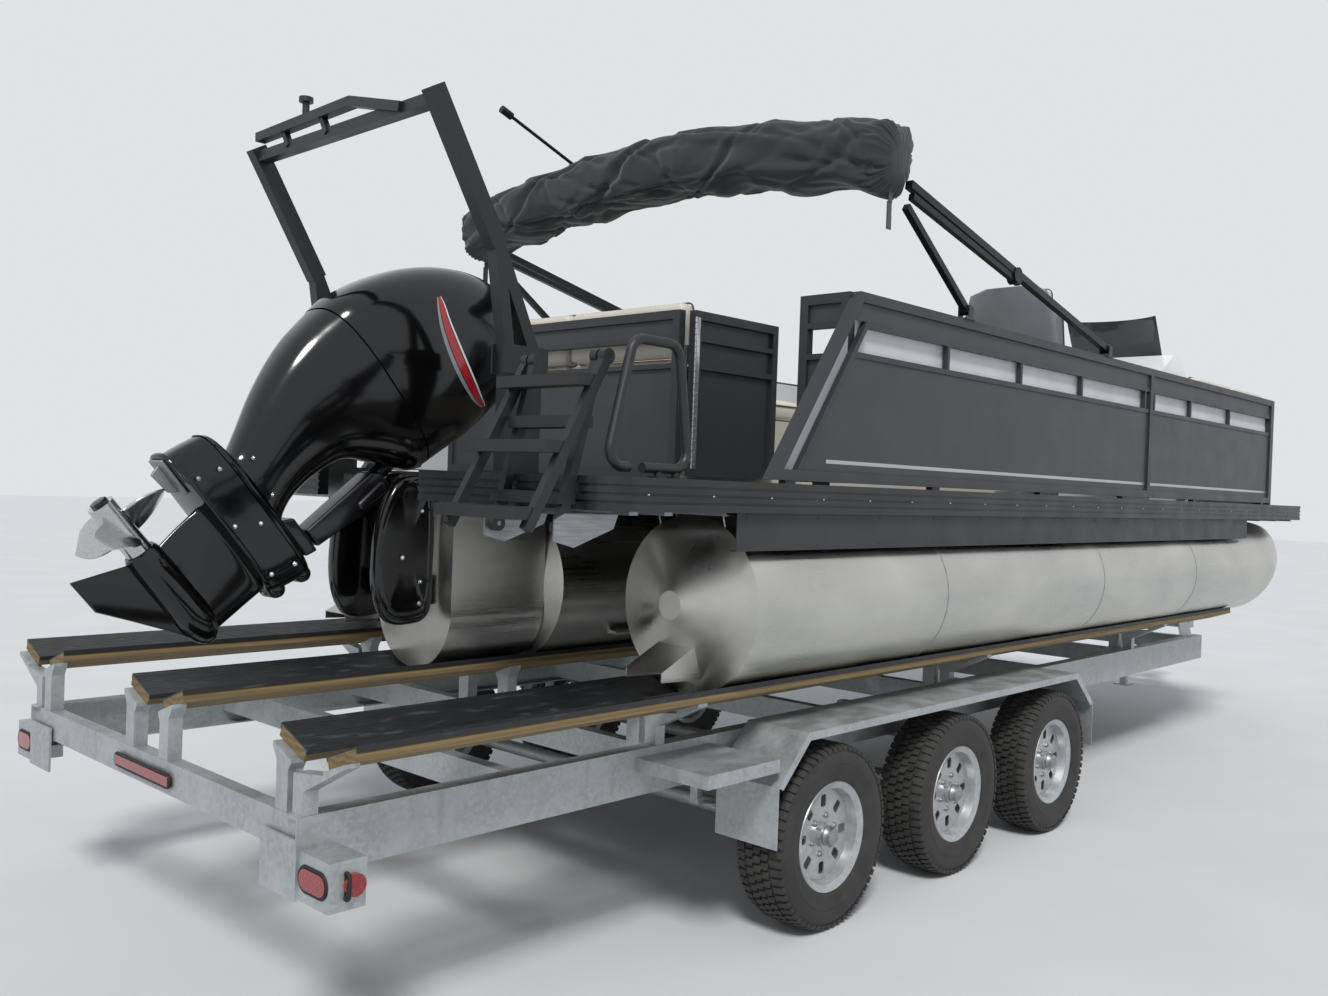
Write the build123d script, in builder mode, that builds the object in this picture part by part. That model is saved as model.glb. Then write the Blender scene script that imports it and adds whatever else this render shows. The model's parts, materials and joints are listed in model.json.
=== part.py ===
from build123d import *
from math import atan2, cos, degrees, hypot, pi, radians, sin, sqrt, tan
import os

os.makedirs("parts", exist_ok=True)

# Pontoon boat with three tubes, standing on its tri-axle trailer.
# Frame: +X to the bow, +Y to port, +Z up, Z = 0 on the ground, origin under the middle of the whole.
# All sizes in millimetres.

# Stations along the hull, measured from the after edge of the deck
stern_x = -3840
deck_length = 7300
bow_x = stern_x + deck_length
beam = 2590
half_beam = beam / 2

# Heights of the deck
deck_top_z = 1648
deck_thickness = 19
deck_bottom_z = deck_top_z - deck_thickness
beam_depth = 98
beam_bottom_z = deck_bottom_z - beam_depth

# Tubes
tube_radius = 317.5
tube_spacing = 980
tube_centre_z = beam_bottom_z - 4.5 - tube_radius
tube_aft_x = stern_x + 710
tube_front_x = bow_x - 40
tube_nose_length = 760
tube_cone_length = 100
seat_gap = 0.3
lanes = {"port": tube_spacing, "centre": 0, "starboard": -tube_spacing}

# Motor well in the after edge of the deck
well_half_width = 330
well_depth = 560

# Rub rail round the deck
rail_height = 104
rail_depth = 45
rail_top_z = deck_top_z
rail_bottom_z = rail_top_z - rail_height
corner_radius = 110
skirt_bottom_z = 1415
skirt_thickness = 4

# Fences
fence_bottom_z = 1660
fence_top_z = 2380
fence_tube = 38
fence_y = 1252
panel_thickness = 3
transom_x = stern_x + 1290
rake_foot_x = transom_x - 510
fence_front_x = bow_x - 790
fence_divider_x = bow_x - 3070
return_inner_y = 1005
gate_hinge_y = -378
console_front_x = bow_x - 2270
console_aft_x = console_front_x - 700
gate_width = 575
bow_gate_half = 380

# Tilting outboard motor: tilt tube, stored tilt, sizes measured from the tilt tube when it hangs down
tilt_x = stern_x + 115
tilt_z = 1600
stored_tilt = 50
plate_drop = 643
shaft_drop = 868
prop_radius = 186
steer_set_back = 70

# Trailer
wheel_radius = 344
wheel_width = 205
wheel_outer_y = 1290
first_axle_x = stern_x + 1230
axle_spacing = 940
axle_count = 3
frame_y = 970
frame_rail_width = 60
frame_top_z = 720
frame_bottom_z = 560
frame_aft_x = stern_x - 790
frame_front_x = bow_x - 1150
coupler_tip_x = bow_x + 1450
bunk_aft_x = stern_x - 745
bunk_front_x = bow_x - 1220
bunk_slope = 20
bunk_width = 140
bunk_thickness = 34
cap_thickness = 5


def block(x0, x1, y0, y1, z0, z1):
    """A plain block between two opposite corners."""
    with BuildPart() as piece:
        with Locations(((x0 + x1) / 2, (y0 + y1) / 2, (z0 + z1) / 2)):
            Box(abs(x1 - x0), abs(y1 - y0), abs(z1 - z0))
    return piece.part


def member(start, end, across, deep):
    """A straight bar of rectangular section: across is its level width, deep its other side."""
    start, end = Vector(*start), Vector(*end)
    run = end - start
    level = Vector(0, 0, 1).cross(run)
    if level.length < 1e-6 * run.length:
        level = Vector(0, 1, 0)
    with BuildPart() as piece:
        with BuildSketch(Plane(origin=start, x_dir=level.normalized(), z_dir=run.normalized())):
            Rectangle(across, deep)
        extrude(amount=run.length)
    return piece.part


def bent_tube(points, radius, bend):
    """A round bar along straight runs joined by tangent arcs."""
    with BuildPart() as piece:
        with BuildLine() as path:
            if len(points) > 2:
                FilletPolyline(*points, radius=bend)
            else:
                Line(*points)
        with BuildSketch(Plane(origin=path.line @ 0, z_dir=path.line % 0)):
            Circle(radius)
        sweep()
    return piece.part


def rod(start, end, radius):
    """A straight round bar."""
    start, end = Vector(*start), Vector(*end)
    with BuildPart() as piece:
        with BuildSketch(Plane(origin=start, z_dir=(end - start).normalized())):
            Circle(radius)
        extrude(amount=(end - start).length)
    return piece.part


def side_plate(points, y0, y1):
    """A flat plate drawn in side view as (x, z) corners, between two widths."""
    with BuildPart() as piece:
        with BuildSketch(Plane.XZ.offset(-y0)):
            with BuildLine():
                Polyline(*points, close=True)
            make_face()
        extrude(amount=y0 - y1)
    return piece.part


def across(x):
    """An upright plane across the boat, drawn as (y, z)."""
    return Plane(origin=(x, 0, 0), x_dir=(0, 1, 0), z_dir=(1, 0, 0))


# Tubes: straight barrel, shallow after cone, upturned nose
nose_start_x = tube_front_x - tube_nose_length
nose_tip_radius = 60
nose_tip_rise = 215
lift_strake_depth = 45


def hull_tube(y):
    """One closed aluminium tube with its nose swept up to the deck line."""
    with BuildPart() as tube:
        with BuildSketch(Plane(origin=(tube_aft_x, y, tube_centre_z), z_dir=(1, 0, 0))):
            Circle(tube_radius)
        extrude(amount=nose_start_x - tube_aft_x)
        with BuildSketch(Plane(origin=(tube_aft_x, y, tube_centre_z), z_dir=(-1, 0, 0))):
            Circle(tube_radius)
        with BuildSketch(Plane(origin=(tube_aft_x - tube_cone_length, y, tube_centre_z), z_dir=(-1, 0, 0))):
            Circle(tube_radius * 0.16)
        loft()
        with BuildSketch(Plane(origin=(nose_start_x, y, tube_centre_z), z_dir=(1, 0, 0))):
            Circle(tube_radius)
        with BuildSketch(Plane(origin=(nose_start_x + tube_nose_length * 0.55, y, tube_centre_z + 66),
                               z_dir=(1, 0, 0))):
            Circle(tube_radius - 75)
        with BuildSketch(Plane(origin=(tube_front_x, y, tube_centre_z + nose_tip_rise), z_dir=(1, 0, 0))):
            Circle(nose_tip_radius)
        loft()
    return tube.part


def lifting_strake(y, side):
    """A bent fin along the flank of a tube, seated on it."""
    foot_y = y + side * tube_radius * cos(radians(38))
    foot_z = tube_centre_z - tube_radius * sin(radians(38))
    with BuildPart() as fin:
        with BuildSketch(across(tube_aft_x + 330)):
            with BuildLine():
                Polyline((foot_y - side * 4, foot_z + 3), (foot_y + side * lift_strake_depth, foot_z - 8),
                         (foot_y + side * lift_strake_depth, foot_z - 13), (foot_y - side * 12, foot_z - 14),
                         close=True)
            make_face()
        extrude(amount=nose_start_x - tube_aft_x - 500)
    return fin.part


def corner_gusset(y, side):
    """The upright plate that ties the after end of an outer tube to the deck."""
    return side_plate([(tube_aft_x - 10, beam_bottom_z - 1), (tube_aft_x + 95, beam_bottom_z - 1),
                       (tube_aft_x + 95, tube_centre_z + 250), (tube_aft_x + 12, tube_centre_z + 250)],
                      y + side * 150, y + side * 156)


# The after end of the centre tube is carried up to a transom plate, with a scooped floor below it
pod_aft_x = tilt_x + 115
pod_half_width = 235
pod_floor_z = tube_centre_z - tube_radius + 6
pod_front_x = tube_aft_x - 30
transom_plate_top_z = 1590
transom_plate_thickness = 50
with BuildPart() as motor_pod:
    with BuildSketch(across(pod_aft_x)):
        with BuildLine():
            Line((-pod_half_width, beam_bottom_z - 2), (pod_half_width, beam_bottom_z - 2))
            Line((pod_half_width, beam_bottom_z - 2), (pod_half_width, tube_centre_z - 60))
            ThreePointArc((pod_half_width, tube_centre_z - 60), (0, pod_floor_z),
                          (-pod_half_width, tube_centre_z - 60))
            Line((-pod_half_width, tube_centre_z - 60), (-pod_half_width, beam_bottom_z - 2))
        make_face()
    extrude(amount=pod_front_x - pod_aft_x)
    add(block(pod_aft_x, pod_aft_x + transom_plate_thickness, -pod_half_width + 5, pod_half_width - 5,
              tube_centre_z, transom_plate_top_z))


def tube_guard(y):
    """A folded guard under the after end of an outer tube."""
    front = tube_aft_x + 30
    cheek = [(front - 250, 960), (front - 20, 950), (front - 50, 1065), (front - 90, 1065),
             (front - 250, 990)]
    lid = [(front - 250, 990), (front - 90, 1065), (front - 50, 1065), (front - 50, 1069), (front - 90, 1069),
           (front - 252, 993)]
    return [side_plate(cheek, y - 85, y - 81), side_plate(cheek, y + 81, y + 85),
            side_plate(lid, y - 85, y + 85)]


tube_extras = {
    "port": [corner_gusset(tube_spacing, s) for s in (-1, 1)] + tube_guard(tube_spacing),
    "starboard": [corner_gusset(-tube_spacing, s) for s in (-1, 1)] + tube_guard(-tube_spacing),
    "centre": [lifting_strake(0, s) for s in (-1, 1)] + [motor_pod.part],
}
for lane, lane_y in lanes.items():
    with BuildPart() as lane_tube:
        add(hull_tube(lane_y))
        add(tube_extras[lane])
    lane_tube.part.label = f"{lane}_tube"
    export_step(lane_tube.part, f"parts/{lane}_tube.step")

# Deck beams: channels across the boat, seated on risers along each tube
beam_count = 18
beam_width = 38
beam_half_length = half_beam - rail_depth - 4
beam_first_x = stern_x + well_depth + 15
beam_last_x = bow_x - 160
beam_pitch = (beam_last_x - beam_first_x) / (beam_count - 1)
wing_beam_x = stern_x + corner_radius + 14
riser_offset = 110
riser_foot_z = tube_centre_z + sqrt(tube_radius ** 2 - (riser_offset - 3) ** 2) + seat_gap


def deck_beam(x):
    """One channel with its open side to the bow."""
    with BuildPart() as channel:
        with BuildSketch(Plane.XZ.offset(-beam_half_length)):
            with Locations((x + beam_width / 2, (deck_bottom_z + beam_bottom_z) / 2)):
                Rectangle(beam_width, beam_depth - 2 * seat_gap)
            with Locations((x + beam_width / 2 + 5, (deck_bottom_z + beam_bottom_z) / 2)):
                Rectangle(beam_width, beam_depth - 10, mode=Mode.SUBTRACT)
        extrude(amount=2 * beam_half_length)
    return channel.part


def riser(y, side):
    """An angle along a tube: its web stands on the tube and its flange carries the beams."""
    web_y = y + side * riser_offset
    with BuildPart() as angle:
        with BuildSketch(across(tube_aft_x + 40)):
            with BuildLine():
                Polyline((web_y - side * 3, riser_foot_z), (web_y + side * 3, riser_foot_z),
                         (web_y + side * 3, beam_bottom_z - 5), (web_y + side * 36, beam_bottom_z - 5),
                         (web_y + side * 36, beam_bottom_z - 0.2), (web_y - side * 3, beam_bottom_z - 0.2),
                         close=True)
            make_face()
        extrude(amount=nose_start_x - tube_aft_x - 60)
    return angle.part


with BuildPart() as deck_beams:
    add([deck_beam(beam_first_x + i * beam_pitch) for i in range(beam_count)])
    for wing_x in (wing_beam_x, stern_x + 280):
        for side in (-1, 1):
            add(block(wing_x, wing_x + beam_width, side * (well_half_width + 20), side * beam_half_length,
                      beam_bottom_z, deck_bottom_z - seat_gap))
    add([riser(y, side) for y in lanes.values() for side in (-1, 1)])
deck_beams.part.label = "deck_beams"
export_step(deck_beams.part, "parts/deck_beams.step")

# Deck panel with the motor well cut out of its after edge
with BuildPart() as deck:
    with BuildSketch(Plane.XY.offset(deck_bottom_z)):
        with Locations(((stern_x + bow_x) / 2, 0)):
            RectangleRounded(deck_length - 2 * rail_depth - 1, beam - 2 * rail_depth - 1,
                             corner_radius - rail_depth)
        with Locations((stern_x + well_depth / 2, 0)):
            Rectangle(well_depth + 40, 2 * well_half_width, mode=Mode.SUBTRACT)
    extrude(amount=deck_thickness)
deck.part.label = "deck"
export_step(deck.part, "parts/deck.step")

# Rub rail: a ribbed extrusion round the deck, open at the motor well
with BuildPart() as rub_rail:
    with BuildSketch(Plane.XY.offset(rail_bottom_z)):
        with Locations(((stern_x + bow_x) / 2, 0)):
            RectangleRounded(deck_length, beam, corner_radius)
            RectangleRounded(deck_length - 2 * rail_depth, beam - 2 * rail_depth, corner_radius - rail_depth,
                             mode=Mode.SUBTRACT)
        with Locations((stern_x + rail_depth / 2, 0)):
            Rectangle(rail_depth + 10, 2 * well_half_width, mode=Mode.SUBTRACT)
    extrude(amount=rail_height)
    groove_heights = [rail_bottom_z + rail_height * share for share in (0.26, 0.5, 0.74)]
    for groove_z in groove_heights:
        with BuildSketch(Plane.XY.offset(groove_z - 4)):
            with Locations(((stern_x + bow_x) / 2, 0)):
                RectangleRounded(deck_length + 2, beam + 2, corner_radius + 1)
                RectangleRounded(deck_length - 10, beam - 10, corner_radius - 5, mode=Mode.SUBTRACT)
        extrude(amount=8, mode=Mode.SUBTRACT)
rub_rail.part.label = "rub_rail"
export_step(rub_rail.part, "parts/rub_rail.step")

# Skirts under the rub rail on both sides
skirt_aft_x = stern_x + 610
skirt_front_x = bow_x - 1280
with BuildPart() as side_skirts:
    for side in (-1, 1):
        skirt_y = side * (half_beam - 24)
        add(block(skirt_aft_x, skirt_front_x, skirt_y, skirt_y - side * skirt_thickness,
                  skirt_bottom_z, rail_bottom_z - seat_gap))
        add(block(skirt_aft_x, skirt_front_x, skirt_y, skirt_y - side * 26,
                  skirt_bottom_z, skirt_bottom_z + 4))
side_skirts.part.label = "side_skirts"
export_step(side_skirts.part, "parts/side_skirts.step")

# Fences: square tube frames on short feet, each side with a raked after end
rake_run = transom_x - rake_foot_x
window_low_z = 2153
window_high_z = 2250
side_posts = [stern_x + 1970, stern_x + 2640, stern_x + 3310, fence_divider_x - 75, fence_divider_x + 60,
              fence_divider_x + 650, fence_divider_x + 1370, fence_front_x - fence_tube / 2]


def rake_x(z):
    """Station of the raked end's after edge at one height."""
    return rake_foot_x + rake_run * (z - fence_bottom_z) / (fence_top_z - fence_bottom_z)


def side_frame(side):
    """One side fence: outline, divider, window bars and the return panel's frame."""
    y0, y1 = side * (fence_y - fence_tube / 2), side * (fence_y + fence_tube / 2)
    inner_shift = fence_tube * 1.25
    outline = [(rake_x(fence_bottom_z), fence_bottom_z), (fence_front_x, fence_bottom_z),
               (fence_front_x, fence_top_z), (rake_x(fence_top_z), fence_top_z)]
    hole_bottom, hole_top = fence_bottom_z + fence_tube, fence_top_z - fence_tube
    holes = [
        [(rake_x(hole_bottom) + inner_shift, hole_bottom), (fence_divider_x - fence_tube / 2, hole_bottom),
         (fence_divider_x - fence_tube / 2, hole_top), (rake_x(hole_top) + inner_shift, hole_top)],
        [(fence_divider_x + fence_tube / 2, hole_bottom), (fence_front_x - fence_tube, hole_bottom),
         (fence_front_x - fence_tube, hole_top), (fence_divider_x + fence_tube / 2, hole_top)],
    ]
    with BuildPart() as frame:
        add(side_plate(outline, y0, y1))
        for hole in holes:
            add(side_plate(hole, y0 - side * 5, y1 + side * 5), mode=Mode.SUBTRACT)
        for low, high in ((window_low_z - 22, window_low_z), (window_high_z, window_high_z + 22)):
            add(side_plate([(rake_x(low) + inner_shift + 90, low), (fence_front_x - 10, low),
                            (fence_front_x - 10, high), (rake_x(high) + inner_shift + 90, high)],
                           side * (fence_y - 12), side * (fence_y + 12)))
        add(side_plate([(rake_x(hole_bottom - 5) + inner_shift + 86, hole_bottom - 5),
                        (rake_x(hole_bottom - 5) + inner_shift + 112, hole_bottom - 5),
                        (rake_x(window_high_z + 22) + inner_shift + 112, window_high_z + 22),
                        (rake_x(window_high_z + 22) + inner_shift + 86, window_high_z + 22)],
                       side * (fence_y - 12), side * (fence_y + 12)))
        for post_x in side_posts:
            add(block(post_x - 9, post_x + 9, side * (fence_y - 12), side * (fence_y + 12),
                      window_low_z - 5, window_high_z + 5))
        for foot_x in (rake_foot_x + 120, stern_x + 1900, stern_x + 2900, stern_x + 3900, stern_x + 5000,
                       fence_front_x - 160):
            add(block(foot_x - 30, foot_x + 30, side * (fence_y - 15), side * (fence_y + 15),
                      deck_top_z + 0.0, fence_bottom_z + 5))
    return frame.part


def cross_frame(x, y_low, y_high, top_z=fence_top_z):
    """An upright rectangular frame across the boat with one middle bar under its upper slot."""
    with BuildPart() as frame:
        with BuildSketch(Plane.YZ.offset(x - fence_tube / 2)):
            with Locations(((y_low + y_high) / 2, (fence_bottom_z + top_z) / 2)):
                Rectangle(y_high - y_low, top_z - fence_bottom_z)
            with Locations(((y_low + y_high) / 2, (fence_bottom_z + top_z) / 2)):
                Rectangle(y_high - y_low - 2 * fence_tube, top_z - fence_bottom_z - 2 * fence_tube,
                          mode=Mode.SUBTRACT)
            for low, high in ((window_low_z - 22, window_low_z), (window_high_z, window_high_z + 22)):
                with Locations(((y_low + y_high) / 2, (low + high) / 2)):
                    Rectangle(y_high - y_low - 10, high - low)
        extrude(amount=fence_tube)
    return frame.part


# Gates: one welded leaf each, on a knuckle hinge
gate_edge_gap = 8
hinge_radius = 6
hinge_pin_radius = 2.5
hinge_low_z = fence_bottom_z + 60
hinge_high_z = window_low_z + 80
hinge_knuckles = 6
hinge_pin_set = fence_tube / 2 + hinge_radius


def leaf(x0, y0, along, length, turn):
    """A gate leaf from its hinge edge: along is its level direction, turn the side its thickness takes."""
    far = (x0 + along[0] * length + turn[0] * fence_tube, y0 + along[1] * length + turn[1] * fence_tube)
    with BuildPart() as gate:
        add(block(x0, far[0], y0, far[1], fence_bottom_z + 12, fence_top_z))
        for low, high in ((fence_bottom_z + 12 + fence_tube, window_low_z - 22),
                          (window_low_z, window_high_z),
                          (window_high_z + 22, fence_top_z - fence_tube)):
            for share in (-0.1, 0.58):
                c0 = (x0 + along[0] * fence_tube + turn[0] * fence_tube * share,
                      y0 + along[1] * fence_tube + turn[1] * fence_tube * share)
                c1 = (c0[0] + along[0] * (length - 2 * fence_tube) + turn[0] * fence_tube * 0.52,
                      c0[1] + along[1] * (length - 2 * fence_tube) + turn[1] * fence_tube * 0.52)
                add(block(c0[0], c1[0], c0[1], c1[1], low, high), mode=Mode.SUBTRACT)
    return gate.part


def knuckles(pin_x, pin_y, parity, plate):
    """Every second knuckle of a hinge with its strap: plate holds the strap's corners from the pin."""
    pitch = (hinge_high_z - hinge_low_z) / hinge_knuckles
    with BuildPart() as set_of:
        for i in range(parity, hinge_knuckles, 2):
            z0, z1 = hinge_low_z + i * pitch + 1, hinge_low_z + (i + 1) * pitch - 1
            with BuildSketch(Plane(origin=(pin_x, pin_y, z0))):
                Circle(hinge_radius)
            extrude(amount=z1 - z0)
            add(block(pin_x + plate[0], pin_x + plate[1], pin_y + plate[2], pin_y + plate[3], z0, z1))
        with BuildSketch(Plane(origin=(pin_x, pin_y, hinge_low_z + 1))):
            Circle(hinge_pin_radius if parity == 0 else hinge_pin_radius + 0.05)
        extrude(amount=hinge_high_z - hinge_low_z - 2, mode=Mode.ADD if parity == 0 else Mode.SUBTRACT)
    return set_of.part


after_pin_x = transom_x + hinge_pin_set
after_pin_y = gate_hinge_y
bow_fence_x = bow_x - 420
bow_pin_x = bow_fence_x - hinge_pin_set
bow_pin_y = -bow_gate_half + 6
# Ears on the fence tops for the canopy: columns station, ear height
canopy_y = fence_y
canopy_foot_x = stern_x + 3610
canopy_foot_z = fence_top_z + 42
brace_foot_x = stern_x + 2120
canopy_pin_radius = 6


def canopy_ears(side, x):
    """A base plate with two ears and the pin between them."""
    y = side * canopy_y
    with BuildPart() as ears:
        add(block(x - 40, x + 40, y - 28, y + 28, fence_top_z - 1, fence_top_z + 6))
        for ear in (-1, 1):
            add(block(x - 18, x + 18, y + ear * 22, y + ear * 28, fence_top_z, canopy_foot_z + 14))
        add(rod((x, y - 25, canopy_foot_z), (x, y + 25, canopy_foot_z), canopy_pin_radius))
    return ears.part


side_joint = fence_y - fence_tube / 2 - 0.3
with BuildPart() as port_fence:
    add(side_frame(1))
    add(canopy_ears(1, canopy_foot_x))
    add(canopy_ears(1, brace_foot_x))
port_fence.part.label = "port_fence"
export_step(port_fence.part, "parts/port_fence.step")

with BuildPart() as starboard_fence:
    add(side_frame(-1))
    add(canopy_ears(-1, canopy_foot_x))
    add(canopy_ears(-1, brace_foot_x))
    add(cross_frame(transom_x, -side_joint - 2, -return_inner_y))
    add(block(transom_x - 15, transom_x + 15, -1150, -1090, deck_top_z, fence_bottom_z + 5))
starboard_fence.part.label = "starboard_fence"
export_step(starboard_fence.part, "parts/starboard_fence.step")

with BuildPart() as transom_fence:
    add(cross_frame(transom_x, gate_hinge_y + 6, side_joint))
    for foot_y in (-300, 300, 900):
        add(block(transom_x - 15, transom_x + 15, foot_y - 30, foot_y + 30, deck_top_z, fence_bottom_z + 5))
    add(knuckles(after_pin_x, after_pin_y, 0, (-6 - 0.2, -4, 0, 35)))
transom_fence.part.label = "transom_fence"
export_step(transom_fence.part, "parts/transom_fence.step")

# Bow fence: two quarter panels on each side of the bow gate, set in from the side fences


def bow_quarter(side):
    """The angled quarter and the front panel on one side of the bow gate."""
    corner = 330
    start = (fence_front_x + fence_tube / 2 + 1, side * (fence_y - 4))
    knee = (bow_fence_x, side * (fence_y - corner))
    stop = (bow_fence_x, side * bow_gate_half)
    with BuildPart() as frame:
        for z in (fence_bottom_z + fence_tube / 2, window_low_z - 11, window_high_z + 11,
                  fence_top_z - fence_tube / 2):
            depth = fence_tube if z in (fence_bottom_z + fence_tube / 2, fence_top_z - fence_tube / 2) else 22
            add(member((*start, z), (*knee, z), fence_tube, depth))
            add(member((*knee, z), (*stop, z), fence_tube, depth))
        for x, y in (start, knee, stop):
            inset = -side * fence_tube / 2 if (x, y) == stop else 0
            add(block(x - fence_tube / 2, x + fence_tube / 2, y - inset - fence_tube / 2,
                      y - inset + fence_tube / 2, deck_top_z, fence_top_z))
    return frame.part


with BuildPart() as bow_fence:
    for bow_side in (-1, 1):
        add(bow_quarter(bow_side))
    add(knuckles(bow_pin_x, bow_pin_y, 0, (4, 6 + 0.2, -35, 0)))
bow_fence.part.label = "bow_fence"
export_step(bow_fence.part, "parts/bow_fence.step")

# Fence panels: sheet set in the frames, flush to the outside
panel_play = 0.5
panel_top_z = window_low_z - 22 - panel_play
panel_bottom_z = fence_bottom_z + fence_tube + panel_play


def side_panel(side, upper):
    """The sheets of one side: a long lower one with a raked end, or the strips above the windows."""
    y0 = side * (fence_y + 6)
    y1 = side * (fence_y + 6 - panel_thickness)
    low, high = (window_high_z + 22.5, fence_top_z - fence_tube - 0.5) if upper else (panel_bottom_z,
                                                                                      panel_top_z)
    shift = fence_tube * 1.25 + 114 if not upper else fence_tube * 1.25 + 2
    with BuildPart() as sheets:
        add(side_plate([(rake_x(low) + shift, low), (fence_divider_x - fence_tube / 2 - 0.5, low),
                        (fence_divider_x - fence_tube / 2 - 0.5, high), (rake_x(high) + shift, high)], y0,
                       y1))
        add(side_plate([(fence_divider_x + fence_tube / 2 + 0.5, low),
                        (fence_front_x - fence_tube - 0.5, low),
                        (fence_front_x - fence_tube - 0.5, high),
                        (fence_divider_x + fence_tube / 2 + 0.5, high)], y0, y1))
    return sheets.part


def cross_panel(x, y_low, y_high):
    """Two sheets in one upright frame across the boat."""
    inset = fence_tube + 0.5
    with BuildPart() as sheets:
        add(block(x - 6, x - 6 + panel_thickness, y_low + inset, y_high - inset, panel_bottom_z, panel_top_z))
        add(block(x - 6, x - 6 + panel_thickness, y_low + inset, y_high - inset,
                  window_high_z + 22.5, fence_top_z - fence_tube - 0.5))
    return sheets.part


def bow_panel(side):
    """The sheets of one bow quarter."""
    corner = 330
    start = Vector(fence_front_x + fence_tube / 2 + 1, side * (fence_y - 4), 0)
    knee = Vector(bow_fence_x, side * (fence_y - corner), 0)
    run = (knee - start).normalized()
    ends = (start + run * 32, knee - run * 32)
    with BuildPart() as sheets:
        for low, high in ((panel_bottom_z, panel_top_z), (window_high_z + 22.5,
                                                          fence_top_z - fence_tube - 0.5)):
            add(member((ends[0].X, ends[0].Y, (low + high) / 2), (ends[1].X, ends[1].Y, (low + high) / 2),
                       panel_thickness, high - low))
            y_a = side * (fence_y - corner - fence_tube / 2 - 6)
            y_b = side * (bow_gate_half + fence_tube + 0.5)
            add(block(bow_fence_x + 2, bow_fence_x + 2 + panel_thickness, y_a, y_b, low, high))
    return sheets.part


with BuildPart() as fence_panels:
    for panel_side in (-1, 1):
        add(side_panel(panel_side, False))
        add(side_panel(panel_side, True))
        add(bow_panel(panel_side))
    add(cross_panel(transom_x, -side_joint - 2, -return_inner_y))
    add(cross_panel(transom_x, gate_hinge_y + 6, side_joint))
fence_panels.part.label = "fence_panels"
export_step(fence_panels.part, "parts/fence_panels.step")

# Liners: a pale inner skin on each side fence, seen through the window slots
liner_thickness = 4
liner_y = fence_y - fence_tube / 2 - 0.3
with BuildPart() as fence_liners:
    low, high = fence_bottom_z + 5, fence_top_z - 12
    fore_x, aft_x = transom_x + fence_tube / 2 + seat_gap, transom_x - fence_tube / 2 - seat_gap
    rake_top_z = fence_bottom_z + (aft_x - 45 - rake_foot_x) / rake_run * (fence_top_z - fence_bottom_z)
    for side in (-1, 1):
        y_out, y_in = side * liner_y, side * (liner_y - liner_thickness)
        add(side_plate([(fore_x, low), (fence_front_x - 30, low), (fence_front_x - 30, high), (fore_x, high)],
                       y_out, y_in))
        add(side_plate([(rake_x(low) + 45, low), (aft_x, low), (aft_x, rake_top_z)], y_out, y_in))
fence_liners.part.label = "fence_liners"
export_step(fence_liners.part, "parts/fence_liners.step")


# The after gate stands open, along the passage
with BuildPart() as after_gate:
    add(leaf(after_pin_x + gate_edge_gap, after_pin_y - hinge_radius, (1, 0), gate_width, (0, -1)))
    add(knuckles(after_pin_x, after_pin_y, 1, (0, 35, -6, -4)))
after_gate.part.label = "after_gate"
export_step(after_gate.part, "parts/after_gate.step")

# The bow gate stands closed
bow_gate_length = 2 * bow_gate_half - 28
with BuildPart() as bow_gate:
    add(leaf(bow_pin_x + hinge_radius, bow_pin_y + gate_edge_gap, (0, 1), bow_gate_length, (1, 0)))
    add(knuckles(bow_pin_x, bow_pin_y, 1, (4, 6, 0, 35)))
bow_gate.part.label = "bow_gate"
export_step(bow_gate.part, "parts/bow_gate.step")

# Lounges: hollow moulded bases with upholstered seats and backs, columns x0, x1, y0, y1
lounge_base_z = deck_top_z + 400
lounge_base_wall = 12
cushion_gap = 0.5
aft_lounge_front_x = transom_x + 700
seat_thickness = 130
back_thickness = 110
lounge_inner_y = liner_y - liner_thickness - 8
bench_y = -345
side_lounge_end_x = stern_x + 3550
port_passage = 750
lounges = {
    "stern": (transom_x + 24, aft_lounge_front_x, bench_y, lounge_inner_y),
    "port_side": (aft_lounge_front_x + 4, side_lounge_end_x, lounge_inner_y - 600, lounge_inner_y),
    "port_bow": (side_lounge_end_x + port_passage, fence_front_x - 50, lounge_inner_y - 600, lounge_inner_y),
    "starboard_bow": (console_front_x + 120, fence_front_x - 50, -lounge_inner_y, -lounge_inner_y + 600),
}
with BuildPart() as lounge_bases:
    for x0, x1, y0, y1 in lounges.values():
        add(block(x0, x1, y0, y1, deck_top_z, lounge_base_z))
        add(block(x0 + lounge_base_wall, x1 - lounge_base_wall, y0 + lounge_base_wall, y1 - lounge_base_wall,
                  deck_top_z - 5, lounge_base_z - lounge_base_wall), mode=Mode.SUBTRACT)
lounge_bases.part.label = "lounge_bases"
export_step(lounge_bases.part, "parts/lounge_bases.step")


def cushion(x0, x1, y0, y1, z0, z1, soft=28):
    """One upholstered block with its upright and top edges rounded."""
    with BuildPart() as pad:
        add(block(x0, x1, y0, y1, z0, z1))
        fillet(pad.edges().filter_by(Axis.Z), radius=soft)
        fillet(pad.faces().sort_by(Axis.Z)[-1].edges(), radius=soft * 0.7)
    return pad.part


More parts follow.
